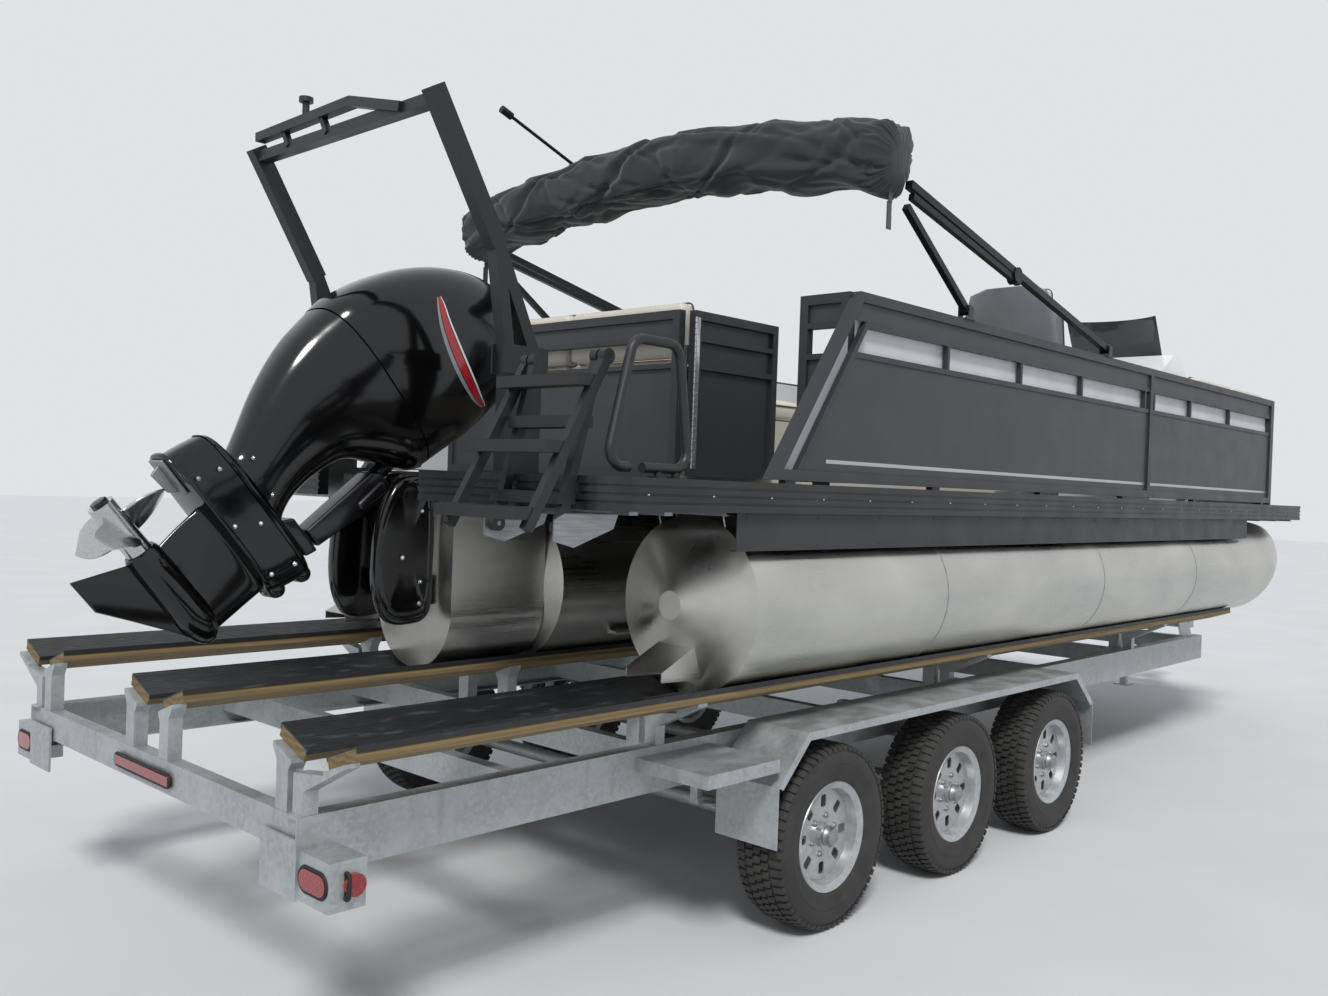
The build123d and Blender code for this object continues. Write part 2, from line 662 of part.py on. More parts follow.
back_top_z = fence_top_z + 50
seat_z0 = lounge_base_z + cushion_gap
seat_z1 = seat_z0 + seat_thickness
back_z0 = seat_z1 + cushion_gap
stern_box = lounges["stern"]
with BuildPart() as lounge_cushions:
    sx0, sx1, sy0, sy1 = stern_box
    third = (sy1 - sy0 - back_thickness) / 2
    for i in range(2):
        add(cushion(sx0 + 2, sx1, sy0 + i * third + 1, sy0 + (i + 1) * third - 1, seat_z0, seat_z1))
        add(cushion(sx0 + 2, sx0 + 2 + back_thickness, sy0 + i * third + 1, sy0 + (i + 1) * third - 1,
                    back_z0, back_top_z))
    for name in ("port_side", "port_bow", "starboard_bow"):
        x0, x1, y0, y1 = lounges[name]
        count = 2
        step = (x1 - x0) / count
        for i in range(count):
            xa, xb = x0 + i * step + 1, x0 + (i + 1) * step - 1
            add(cushion(xa, xb, y0, y1, seat_z0, seat_z1))
            if y0 > 0:
                add(cushion(xa, xb, y1 - back_thickness, y1, back_z0, back_top_z))
            else:
                add(cushion(xa, xb, y0, y0 + back_thickness, back_z0, back_top_z))
lounge_cushions.part.label = "lounge_cushions"
export_step(lounge_cushions.part, "parts/lounge_cushions.step")

# Helm: console, windscreen, wheel and chair on the starboard side
console_outer_y = -(lounge_inner_y - 4)
console_inner_y = -520
console_shelf_z = 2180
console_dash_z = 2330
console_peak_z = 2500
console_outline = [
    (console_aft_x + 60, deck_top_z), (console_front_x, deck_top_z),
                   (console_front_x - 40, console_shelf_z + 80),
    (console_front_x - 190, console_peak_z), (console_front_x - 330, console_peak_z + 15),
    (console_aft_x + 70, console_dash_z), (console_aft_x, console_shelf_z)]
wheel_hub_x, wheel_hub_y, wheel_hub_z = console_aft_x - 95, -860, 2300
helm_wheel_radius = 175
helm_wheel_tilt = 25
wheel_axis = Vector(-cos(radians(helm_wheel_tilt)), 0, sin(radians(helm_wheel_tilt)))
wheel_hub = Vector(wheel_hub_x, wheel_hub_y, wheel_hub_z)
with BuildPart() as helm_console:
    add(side_plate(console_outline, console_outer_y, console_inner_y))
    fillet(helm_console.edges().filter_by(Axis.Y).sort_by(Axis.Z)[-4:], radius=25)
    add(rod(wheel_hub - wheel_axis * 18.5, wheel_hub - wheel_axis * 170, 30))
helm_console.part.label = "helm_console"
export_step(helm_console.part, "parts/helm_console.step")

screen_thickness = 6
screen_foot_x = console_front_x - 250
screen_y = (console_outer_y + console_inner_y) / 2
screen_half = 270
screen_foot_z = console_peak_z + 13.7
screen_top_z = 2735
screen_lean = 130
with BuildPart() as windscreen:
    for z, shift in ((screen_foot_z, 0), (screen_top_z, -screen_lean)):
        with BuildSketch(Plane.XY.offset(z)):
            with BuildLine():
                arc = ThreePointArc((screen_foot_x - 60 + shift, screen_y - screen_half),
                                    (screen_foot_x + 40 + shift, screen_y),
                                    (screen_foot_x - 60 + shift, screen_y + screen_half))
                offset(arc, amount=screen_thickness, side=Side.LEFT)
            make_face()
    loft()
windscreen.part.label = "windscreen"
export_step(windscreen.part, "parts/windscreen.step")

wheel_plane = Plane(origin=wheel_hub, x_dir=(0, 1, 0), z_dir=wheel_axis)
with BuildPart() as helm_wheel:
    with BuildSketch(Plane(origin=wheel_plane.origin + wheel_plane.x_dir * helm_wheel_radius,
                           x_dir=wheel_plane.x_dir, z_dir=wheel_plane.y_dir)):
        Circle(14)
    revolve(axis=Axis(wheel_plane.origin, wheel_plane.z_dir))
    with BuildSketch(wheel_plane.offset(-18)):
        Circle(38)
    extrude(amount=36)
    for angle in (90, 210, 330):
        tip = (wheel_plane.origin + wheel_plane.x_dir * (helm_wheel_radius - 6) * cos(radians(angle))
               + wheel_plane.y_dir * (helm_wheel_radius - 6) * sin(radians(angle)))
        add(member(wheel_plane.origin, tip, 26, 10))
helm_wheel.part.label = "helm_wheel"
export_step(helm_wheel.part, "parts/helm_wheel.step")

# Chair on a round pedestal
chair_x = console_aft_x - 630
chair_y = -800
chair_seat_z = deck_top_z + 400
with BuildPart() as chair_pedestal:
    with BuildSketch(Plane.XY.offset(deck_top_z)):
        with Locations((chair_x, chair_y)):
            Circle(170)
    extrude(amount=18)
    with BuildSketch(Plane.XY.offset(deck_top_z)):
        with Locations((chair_x, chair_y)):
            Circle(38)
    extrude(amount=chair_seat_z - deck_top_z - 11.5)
chair_pedestal.part.label = "chair_pedestal"
export_step(chair_pedestal.part, "parts/chair_pedestal.step")

chair_half = 265
chair_back_top_z = 2850
with BuildPart() as helm_chair:
    add(block(chair_x - 150, chair_x + 150, chair_y - 150, chair_y + 150, chair_seat_z - 11, chair_seat_z))
    add(cushion(chair_x - 250, chair_x + 290, chair_y - chair_half, chair_y + chair_half,
                chair_seat_z, chair_seat_z + 150, 45))
    with BuildSketch(Plane.XZ.offset(-chair_y - chair_half)):
        with BuildLine():
            Polyline((chair_x - 235, chair_seat_z + 40), (chair_x - 120, chair_seat_z + 100),
                     (chair_x - 195, chair_back_top_z - 30), (chair_x - 330, chair_back_top_z),
                     (chair_x - 350, chair_back_top_z - 120), close=True)
        make_face()
    extrude(amount=2 * chair_half)
helm_chair.part.label = "helm_chair"
export_step(helm_chair.part, "parts/helm_chair.step")

# Canopy folded in its cover and held up by two braces; its legs pivot on the top bars of the fences
canopy_head_x = stern_x + 1585
canopy_head_z = 2862
boot_x = canopy_head_x - 110
boot_end_z = 2905
boot_crown_z = 3055
boot_half_length = 1290
boot_depth = 300
boot_height = 300
canopy_bar = 32
brace_head_x = stern_x + 1610
knuckle_share = 0.62
leg_share = 0.9802
mast_y = 560
boot_rise = boot_crown_z - boot_end_z
boot_arc_radius = (boot_half_length ** 2 + boot_rise ** 2) / (2 * boot_rise)
mast_foot_z = (boot_crown_z - boot_arc_radius + sqrt(boot_arc_radius ** 2 - (mast_y - 24) ** 2)
               + boot_height / 2 * boot_arc_radius / sqrt(boot_arc_radius ** 2 - mast_y ** 2) + seat_gap)
leg_run = Vector(canopy_head_x - canopy_foot_x, 0, canopy_head_z - canopy_foot_z)
leg_dir = leg_run.normalized()


def on_leg(side, share, drop=0):
    """A point on a canopy leg, as a share of its length, lowered square to it."""
    down = Vector(leg_dir.Z, 0, -leg_dir.X)
    if down.Z > 0:
        down = down * -1
    return Vector(canopy_foot_x, side * canopy_y, canopy_foot_z) + leg_run * share + down * drop


with BuildPart() as canopy_frame:
    for side in (-1, 1):
        add(member(on_leg(side, 0), on_leg(side, leg_share), canopy_bar, canopy_bar))
        add(member(on_leg(side, knuckle_share - 0.12, canopy_bar), on_leg(side, 0.965, canopy_bar + 6),
                   canopy_bar - 6,
                   canopy_bar - 6))
        with BuildSketch(Plane(origin=on_leg(side, knuckle_share - 0.1, 14) - Vector(0, 22, 0),
                               z_dir=(0, 1, 0))):
            Circle(38)
        extrude(amount=44)
        with BuildSketch(Plane(origin=on_leg(side, 0) - Vector(0, 20, 0), z_dir=(0, 1, 0))):
            Circle(24)
        extrude(amount=40)
        with BuildSketch(Plane(origin=on_leg(side, 0) - Vector(0, 21, 0), z_dir=(0, 1, 0))):
            Circle(canopy_pin_radius + 0.05)
        extrude(amount=42, mode=Mode.SUBTRACT)
    add(rod((boot_x, mast_y, mast_foot_z), (boot_x, mast_y, mast_foot_z + 10), 24))
    add(rod((boot_x + 4, mast_y, mast_foot_z + 9), (boot_x - 430, mast_y, mast_foot_z + 155), 8))
    add(rod((boot_x - 400, mast_y, mast_foot_z + 145), (boot_x - 460, mast_y, mast_foot_z + 165), 18))
canopy_frame.part.label = "canopy_frame"
export_step(canopy_frame.part, "parts/canopy_frame.step")

with BuildPart() as canopy_boot:
    with BuildLine() as boot_path:
        ThreePointArc((boot_x, -boot_half_length, boot_end_z), (boot_x, 0, boot_crown_z),
                      (boot_x, boot_half_length, boot_end_z))
    with BuildSketch(Plane(origin=boot_path.line @ 0, x_dir=(1, 0, 0), z_dir=boot_path.line % 0)):
        RectangleRounded(boot_depth, boot_height, 110)
    sweep()
canopy_boot.part.label = "canopy_boot"
export_step(canopy_boot.part, "parts/canopy_boot.step")

brace_head_z = canopy_head_z - 100
with BuildPart() as canopy_braces:
    for side in (-1, 1):
        add(member((brace_foot_x, side * canopy_y, canopy_foot_z),
                   (brace_head_x, side * canopy_y, brace_head_z),
                   canopy_bar - 4, canopy_bar - 4))
        with BuildSketch(Plane(origin=(brace_foot_x, side * canopy_y - 20, canopy_foot_z), z_dir=(0, 1, 0))):
            Circle(22)
        extrude(amount=40)
        with BuildSketch(Plane(origin=(brace_foot_x, side * canopy_y - 21, canopy_foot_z), z_dir=(0, 1, 0))):
            Circle(canopy_pin_radius + 0.05)
        extrude(amount=42, mode=Mode.SUBTRACT)
canopy_braces.part.label = "canopy_braces"
export_step(canopy_braces.part, "parts/canopy_braces.step")

# Tow arch over the motor: two raked posts on stands, crossbars and a tow hook
arch_y = 580
arch_bar = 64
arch_head = (stern_x - 170, 2885)
arch_knee = (stern_x + 110, 2420)
arch_front_foot = (stern_x + 290, 2040)
arch_aft_foot = (stern_x + 170, 2040)
arch_stand_top_z = 2045


def arch_post(y):
    """One post: the raked tube, its spread legs and the stand on the deck."""
    with BuildPart() as post:
        add(member((arch_head[0], y, arch_head[1]), (arch_knee[0], y, arch_knee[1]), 50, arch_bar))
        add(member((arch_knee[0] - 6, y, arch_knee[1] + 12), (arch_front_foot[0], y, arch_front_foot[1]),
                   50, 46))
        add(member((arch_knee[0] - 6, y, arch_knee[1] + 12), (arch_aft_foot[0], y, arch_aft_foot[1]), 50, 40))
        add(block(arch_aft_foot[0] - 40, arch_front_foot[0] + 40, y - 34, y - 26,
                  arch_stand_top_z - 55, arch_stand_top_z + 45))
        add(block(arch_aft_foot[0] - 40, arch_front_foot[0] + 40, y + 26, y + 34,
                  arch_stand_top_z - 55, arch_stand_top_z + 45))
        add(block(arch_aft_foot[0] - 20, arch_front_foot[0] + 20, y - 26, y + 26,
                  deck_top_z, arch_stand_top_z + 5))
        add(block(arch_aft_foot[0] - 60, arch_front_foot[0] + 60, y - 60, y + 60, deck_top_z, deck_top_z + 8))
    return post.part


arch_low_z = arch_head[1] - 35
arch_high_z = arch_head[1] + 45
hook_y = 220
hook_x = arch_head[0] + 5
with BuildPart() as tow_arch:
    add(arch_post(-arch_y))
    add(arch_post(arch_y))
    add(member((arch_head[0] + 22, -arch_y, arch_low_z), (arch_head[0] + 22, arch_y, arch_low_z), 46, 40))
    add(member((arch_head[0] + 5, -410, arch_low_z), (arch_head[0] + 5, -100, arch_high_z), 40, 34))
    add(member((arch_head[0] + 5, -100, arch_high_z), (arch_head[0] + 5, arch_y - 20, arch_high_z - 10), 40,
               34))
    for y_low, y_high in ((60, 110), (330, 380)):
        add(member((hook_x, y_low, arch_low_z), (hook_x, y_high, arch_high_z), 24, 20))
    with BuildSketch(Plane(origin=(hook_x, hook_y, arch_high_z))):
        Circle(13)
    extrude(amount=78)
    with BuildSketch(Plane(origin=(hook_x, hook_y, arch_high_z + 62))):
        Circle(26)
    extrude(amount=18)
tow_arch.part.label = "tow_arch"
export_step(tow_arch.part, "parts/tow_arch.step")

# Grab hoop beside the ladder
hoop_y = -1238
hoop_radius = 16
hoop_low_z = deck_top_z + 30
hoop_points = [(stern_x + 120, hoop_y, hoop_low_z), (stern_x + 25, hoop_y, hoop_low_z),
               (stern_x + 125, hoop_y, 2070), (stern_x + 330, hoop_y, 2070),
               (stern_x + 390, hoop_y, hoop_low_z), (stern_x + 122, hoop_y, hoop_low_z)]
with BuildPart() as grab_hoop:
    add(bent_tube(hoop_points[:5] + [(stern_x + 180, hoop_y, hoop_low_z)], hoop_radius, 55))
    for foot_x in (stern_x + 250, stern_x + 330):
        add(rod((foot_x, hoop_y, deck_top_z), (foot_x, hoop_y, hoop_low_z), 12))
        add(block(foot_x - 22, foot_x + 22, hoop_y - 22, hoop_y + 22, deck_top_z, deck_top_z + 5))
grab_hoop.part.label = "grab_hoop"
export_step(grab_hoop.part, "parts/grab_hoop.step")

# Boarding ladder in two stages, folded up over the after edge of the deck
ladder_low_y, ladder_high_y = -1190, -800
ladder_rail = 28
ladder_foot = (stern_x - 66, 1489)
ladder_head = (stern_x + 72, 2011)
outer_foot = (stern_x - 222, 1484)
step_depth = 70
step_height = 36
inner_run = Vector(ladder_head[0] - ladder_foot[0], 0, ladder_head[1] - ladder_foot[1])
outer_run = Vector(outer_foot[0] - ladder_head[0], 0, outer_foot[1] - ladder_head[1])
plate_thickness = 6
pin_boss = 24
pin_radius = 8
pin_play = 0.05
plate_gap = 0.6


def boss(x, z, y0, y1, radius):
    """A round boss across the boat."""
    return rod((x, y0, z), (x, y1, z), radius)


def ladder_step(run, start, distance, y0, y1, set_back):
    """A tread square to its rails, set back from their line."""
    along = run.normalized()
    back = Vector(-abs(along.Z), 0, along.X if along.Z > 0 else -along.X)
    centre = Vector(start[0], 0, start[1]) + along * distance + back * set_back
    return member((centre.X, y0, centre.Z), (centre.X, y1, centre.Z), step_depth, step_height)


inner_y = [(ladder_low_y + ladder_rail + 8, ladder_low_y + 2 * ladder_rail + 8),
           (ladder_high_y - 2 * ladder_rail - 8, ladder_high_y - ladder_rail - 8)]
outer_y = [(ladder_low_y, ladder_low_y + ladder_rail), (ladder_high_y - ladder_rail, ladder_high_y)]
with BuildPart() as ladder_inner:
    for y0, y1 in inner_y:
        mid = (y0 + y1) / 2
        add(member((ladder_foot[0], mid, ladder_foot[1]), (ladder_head[0], mid, ladder_head[1]), ladder_rail,
                   ladder_rail + 4))
        add(boss(*ladder_foot, y0, y1, pin_boss))
        add(boss(*ladder_head, y0, y1, pin_boss))
    for distance in (90, 330):
        add(ladder_step(inner_run, ladder_foot, distance, inner_y[0][0], inner_y[1][1], 6))
    add(boss(*ladder_foot, inner_y[0][0] - 20, inner_y[1][1] + 20, pin_radius + pin_play), mode=Mode.SUBTRACT)
    for y0, y1 in ((ladder_low_y + 2, inner_y[0][0] + 1), (inner_y[1][1] - 1, ladder_high_y - 2)):
        add(boss(*ladder_head, y0, y1, pin_radius))
ladder_inner.part.label = "ladder_inner"
export_step(ladder_inner.part, "parts/ladder_inner.step")

with BuildPart() as ladder_outer:
    for y0, y1 in outer_y:
        mid = (y0 + y1) / 2
        add(member((ladder_head[0], mid, ladder_head[1]), (outer_foot[0], mid, outer_foot[1]), ladder_rail,
                   ladder_rail + 4))
        add(boss(*ladder_head, y0, y1, pin_boss))
    for distance in (110, 345, 570):
        add(ladder_step(outer_run, ladder_head, distance, ladder_low_y + 4, ladder_high_y - 4, 38))
    add(boss(*ladder_head, ladder_low_y - 5, ladder_high_y + 5, pin_radius + pin_play), mode=Mode.SUBTRACT)
ladder_outer.part.label = "ladder_outer"
export_step(ladder_outer.part, "parts/ladder_outer.step")

with BuildPart() as ladder_brackets:
    bracket_y = [(inner_y[0][0] - plate_gap - plate_thickness, inner_y[0][0] - plate_gap),
                 (inner_y[1][1] + plate_gap, inner_y[1][1] + plate_gap + plate_thickness)]
    add(boss(*ladder_foot, bracket_y[0][0] + 1, bracket_y[0][1] + ladder_rail, pin_radius))
    add(boss(*ladder_foot, bracket_y[1][0] - ladder_rail, bracket_y[1][1] - 1, pin_radius))
    for y0, y1 in bracket_y:
        add(side_plate([(stern_x - 100, 1450), (stern_x - 20, 1430), (wing_beam_x + 20, 1486),
                        (wing_beam_x + beam_width, beam_bottom_z - seat_gap),
                        (stern_x + 4, beam_bottom_z - seat_gap),
                        (stern_x - 60, rail_bottom_z - 12), (stern_x - 100, rail_bottom_z - 30)], y0, y1))
    add(block(wing_beam_x - 10, wing_beam_x + beam_width, bracket_y[0][0] + 2, bracket_y[1][1] - 2,
              beam_bottom_z - 10, beam_bottom_z - seat_gap))
ladder_brackets.part.label = "ladder_brackets"
export_step(ladder_brackets.part, "parts/ladder_brackets.step")

# Outboard motor. Its own frame: forward and up when it hangs down, turned up by the stored tilt.
tilt_origin = Vector(tilt_x, 0, tilt_z)
motor_fore = Vector(cos(radians(stored_tilt)), 0, -sin(radians(stored_tilt)))
motor_up = Vector(sin(radians(stored_tilt)), 0, cos(radians(stored_tilt)))


def motor_side(y):
    """The side view of the motor at one width, drawn as (forward, up) from the tilt tube."""
    return Plane(origin=tilt_origin + Vector(0, y, 0), x_dir=motor_fore, z_dir=(0, -1, 0))


def motor_level(up):
    """A plan of the motor at one height, drawn as (forward, port)."""
    return Plane(origin=tilt_origin + motor_up * up, x_dir=motor_fore, z_dir=motor_up)


def motor_slab(points, half):
    """A slab of the motor drawn in side view, to both sides of its middle."""
    with BuildPart() as slab:
        with BuildSketch(motor_side(0)):
            with BuildLine():
                Polyline(*points, close=True)
            make_face()
        extrude(amount=half, both=True)
    return slab.part


def motor_point(fore, y, up):
    """A place on the motor in the boat's frame."""
    return tilt_origin + motor_fore * fore + motor_up * up + Vector(0, y, 0)


# Clamp brackets: two curved cheeks bolted to the transom, with the tilt tube through their heads
cheek_inner_y = 118
cheek_outer_y = 168
cheek_outline = [(pod_aft_x - 0.3, 1615), (tilt_x + 20, 1632), (tilt_x - 45, 1620), (tilt_x - 110, 1545),
                 (tilt_x - 165, 1370), (tilt_x - 160, 1200), (tilt_x - 60, 1085), (pod_aft_x - 60, 1105),
                 (pod_aft_x - 0.3, 1180)]
tilt_tube_radius = 19
with BuildPart() as clamp_brackets:
    for side in (-1, 1):
        add(side_plate(cheek_outline, side * cheek_inner_y, side * cheek_outer_y))
    add(block(pod_aft_x - 22, pod_aft_x - 0.3, -cheek_inner_y - 4, cheek_inner_y + 4, 1150, 1260))
    add(block(pod_aft_x - 22, pod_aft_x - 0.3, -cheek_inner_y - 4, cheek_inner_y + 4, 1500, 1560))
    fillet(clamp_brackets.edges().filter_by(Axis.Y).group_by(Axis.X)[0], radius=30)
    with BuildSketch(Plane(origin=(tilt_x, -cheek_outer_y - 14, tilt_z), z_dir=(0, 1, 0))):
        Circle(tilt_tube_radius)
    extrude(amount=2 * cheek_outer_y + 28)
clamp_brackets.part.label = "clamp_brackets"
export_step(clamp_brackets.part, "parts/clamp_brackets.step")

# Swivel bracket: collar round the tilt tube, arm down the front of the leg, bearing for the steering tube
swivel_half = 104
swivel_arm_half = 48
steer_radius = 30
swivel_low = -400
with BuildPart() as swivel_bracket:
    with BuildSketch(motor_side(swivel_half)):
        Circle(40)
    extrude(amount=2 * swivel_half)
    add(motor_slab([(10, -30), (-105, -10), (-105, swivel_low), (-30, swivel_low), (-5, -200)],
                   swivel_arm_half))
    with BuildSketch(motor_side(swivel_half + 10)):
        Circle(tilt_tube_radius + 0.05)
    extrude(amount=2 * swivel_half + 20, mode=Mode.SUBTRACT)
    with BuildSketch(motor_level(swivel_low - 5)):
        with Locations((-steer_set_back, 0)):
            Circle(steer_radius + 0.05)
    extrude(amount=-swivel_low + 5 + 20, mode=Mode.SUBTRACT)
swivel_bracket.part.label = "swivel_bracket"
export_step(swivel_bracket.part, "parts/swivel_bracket.step")

# Motor leg: steering tube, midsection, plate, gearcase and skeg
leg_back = -430
block_top = -470
block_half = 82
case_radius = 62
case_tail = -411
case_nose = -20
with BuildPart() as motor_leg:
    with BuildSketch(motor_level(swivel_low - 30)):
        with Locations((-steer_set_back, 0)):
            Circle(steer_radius)
    extrude(amount=-swivel_low + 30 + 42)
    add(motor_slab([(-150, 60), (-120, 90), (-30, 118), (20, 130), (20, 175), (-560, 175), (-560, 60),
                    (-470, -100),
                    (leg_back, block_top + 5), (-130, block_top + 5), (-130, -60)], 96))
    add(motor_slab([(20, block_top), (-590, block_top), (-612, -plate_drop + 12), (-20, -plate_drop + 12)],
                   block_half))
    add(motor_slab([(-30, swivel_low - 12), (-150, swivel_low - 12), (-150, block_top), (20, block_top)], 60))
    add(motor_slab([(-20, -plate_drop + 14), (-616, -plate_drop + 14), (-616, -plate_drop),
                    (-50, -plate_drop)],
                   112))
    add(motor_slab([(-36, -plate_drop), (-400, -plate_drop), (case_tail + 40, -shaft_drop),
                    (case_nose - 18, -shaft_drop)],
                   34))
    add(motor_slab([(case_nose - 18, -shaft_drop - 10), (-350, -1090), (-478, -1088),
                    (-385, -shaft_drop - 20)], 8))
    add(motor_slab([(-440, -plate_drop + 1), (-600, -plate_drop + 1), (-585, -plate_drop - 36),
                    (-470, -plate_drop - 30)], 14))
    with BuildSketch(Plane(origin=motor_point(case_tail, 0, -shaft_drop), z_dir=motor_fore)):
        Circle(case_radius)
    extrude(amount=-case_tail - 130)
    with BuildSketch(Plane(origin=motor_point(-130, 0, -shaft_drop), z_dir=motor_fore)):
        Circle(case_radius)
    with BuildSketch(Plane(origin=motor_point(case_nose, 0, -shaft_drop), z_dir=motor_fore)):
        Circle(14)
    loft()
    with BuildSketch(Plane(origin=motor_point(case_tail + 2, 0, -shaft_drop), z_dir=-motor_fore)):
        Circle(14)
    extrude(amount=206)
motor_leg.part.label = "motor_leg"
export_step(motor_leg.part, "parts/motor_leg.step")

# Cowl: sections up the motor, columns height, back, front, half width, corner
cowl_sections = [(175.4, -575, 5, 195, 90), (330, -610, 40, 232, 110), (560, -565, 20, 225, 120),
                 (760, -455, -90, 175, 110), (825, -385, -190, 90, 60)]
with BuildPart() as motor_cowl:
    for up, back, front, half, corner in cowl_sections:
        with BuildSketch(motor_level(up)):
            with Locations(((back + front) / 2, 0)):
                RectangleRounded(front - back, 2 * half, min(corner, half - 5, (front - back) / 2 - 5))
    loft()
motor_cowl.part.label = "motor_cowl"
export_step(motor_cowl.part, "parts/motor_cowl.step")

# Propeller: hub with three twisted blades
hub_radius = 42
hub_length = 190
blade_count = 3
blade_rows = [(hub_radius - 6, 105, 12, 62), (110, 140, 9, 40), (prop_radius - 12, 90, 4, 27)]
prop_origin = motor_point(case_tail - 2, 0, -shaft_drop)
with BuildPart() as propeller:
    with BuildSketch(Plane(origin=prop_origin, x_dir=(0, 1, 0), z_dir=-motor_fore)):
        Circle(hub_radius)
        Circle(14.05, mode=Mode.SUBTRACT)
    extrude(amount=hub_length)
    for i in range(blade_count):
        turn = radians(90 + 360 * i / blade_count)
        out = Vector(0, 1, 0) * cos(turn) + motor_up * sin(turn)
        side_dir = out.cross(motor_fore)
        for radius, chord, thickness, pitch in blade_rows:
            tilt_dir = side_dir * cos(radians(pitch)) + motor_fore * sin(radians(pitch))
            with BuildSketch(Plane(origin=prop_origin - motor_fore * 95 + out * radius, x_dir=tilt_dir,
                                   z_dir=out)):
                RectangleRounded(chord, thickness, thickness * 0.45)
        loft()
propeller.part.label = "propeller"
export_step(propeller.part, "parts/propeller.step")

# Trailer frame: channel side rails, cross channels, tongue and end plates
rail_web = 6
cross_stations = [frame_aft_x + 40, stern_x - 20, stern_x + 600, stern_x + 1700, stern_x + 2640,
                  frame_front_x - 2450, frame_front_x - 1250, frame_front_x - 110]
cross_height = 100
cross_width = 50
tongue_front_x = coupler_tip_x - 250
tongue_bar = 70
jack_x = tongue_front_x - 420
with BuildPart() as trailer_frame:
    for side in (-1, 1):
        outer, inner = side * frame_y, side * (frame_y - frame_rail_width)
        add(block(frame_aft_x, frame_front_x, outer, outer - side * rail_web, frame_bottom_z, frame_top_z))
        add(block(frame_aft_x, frame_front_x, outer, inner, frame_top_z - rail_web, frame_top_z))
        add(block(frame_aft_x, frame_front_x, outer, inner, frame_bottom_z, frame_bottom_z + rail_web))
        add(block(frame_aft_x, frame_aft_x + 8, outer, side * (frame_y - 190), frame_bottom_z - 60,
                  frame_top_z - 60))
        add(member((frame_front_x - 130, side * (frame_y - 35), frame_bottom_z + 40),
                   (tongue_front_x - 20, side * 42, frame_bottom_z + 40), tongue_bar, 80))
    for x in cross_stations:
        reach = frame_y - rail_web
        add(block(x - cross_width / 2, x + cross_width / 2, -reach, reach,
                  frame_top_z - rail_web - cross_height,
                  frame_top_z - rail_web))
    add(block(tongue_front_x - 160, tongue_front_x, -60, 60, frame_bottom_z, frame_bottom_z + 80))
    add(block(jack_x - 60, jack_x + 60, -260, 260, frame_bottom_z + 8, frame_bottom_z + 72))
trailer_frame.part.label = "trailer_frame"
export_step(trailer_frame.part, "parts/trailer_frame.step")

# Coupler on the nose of the tongue
coupler_z = frame_bottom_z + 40
ball_radius = 29.4
with BuildPart() as coupler:
    add(block(tongue_front_x - 60, tongue_front_x + 110, -42, 42, coupler_z + 40.3, coupler_z + 52))
    add(block(tongue_front_x + 5, tongue_front_x + 190, -42, 42, coupler_z - 20, coupler_z + 52))
    with BuildSketch(Plane.XY.offset(coupler_z - 20)):
        with Locations((coupler_tip_x - 60, 0)):
            Circle(60)
    extrude(amount=72)
    with BuildSketch(Plane.XY.offset(coupler_z - 20)):
        with Locations((coupler_tip_x - 60, 0)):
            Circle(ball_radius)
    extrude(amount=52, mode=Mode.SUBTRACT)
coupler.part.label = "coupler"
export_step(coupler.part, "parts/coupler.step")

# Drop-leg jack beside the tongue, its foot on the ground
jack_tube_half = 32
jack_leg_half = 26
jack_top_z = frame_bottom_z + 420
jack_bottom_z = 330
jack_plate_y = 260 + seat_gap
with BuildPart() as jack_tube:
    add(block(jack_x - 55, jack_x + 55, jack_plate_y, jack_plate_y + 10, frame_bottom_z - 15,
              frame_top_z - 55))
    add(block(jack_x - jack_tube_half, jack_x + jack_tube_half, jack_plate_y + 10,
              jack_plate_y + 10 + 2 * jack_tube_half, jack_bottom_z, jack_top_z))
    add(block(jack_x - jack_leg_half - 0.8, jack_x + jack_leg_half + 0.8,
              jack_plate_y + 9.2 + jack_tube_half - jack_leg_half,
              jack_plate_y + 10.8 + jack_tube_half + jack_leg_half,
              jack_bottom_z - 5, jack_top_z - 6), mode=Mode.SUBTRACT)
    add(rod((jack_x + jack_tube_half - 1, jack_plate_y + 10 + jack_tube_half, jack_top_z - 45),
            (jack_x + 110, jack_plate_y + 10 + jack_tube_half, jack_top_z - 45), 9))
    add(rod((jack_x + 104, jack_plate_y + 10 + jack_tube_half, jack_top_z - 50),
            (jack_x + 104, jack_plate_y + 10 + jack_tube_half, jack_top_z + 120), 8))
    add(rod((jack_x + 100, jack_plate_y + 10 + jack_tube_half, jack_top_z + 112),
            (jack_x + 190, jack_plate_y + 10 + jack_tube_half, jack_top_z + 112), 13))
jack_tube.part.label = "jack_tube"
export_step(jack_tube.part, "parts/jack_tube.step")

jack_leg_y = jack_plate_y + 10 + jack_tube_half
jack_leg_reach = 330
with BuildPart() as jack_leg:
    add(block(jack_x - jack_leg_half, jack_x + jack_leg_half, jack_leg_y - jack_leg_half,
              jack_leg_y + jack_leg_half,
              8, jack_bottom_z + jack_leg_reach))
    add(block(jack_x - 75, jack_x + 75, jack_leg_y - 60, jack_leg_y + 60, 0, 10))
jack_leg.part.label = "jack_leg"
export_step(jack_leg.part, "parts/jack_leg.step")

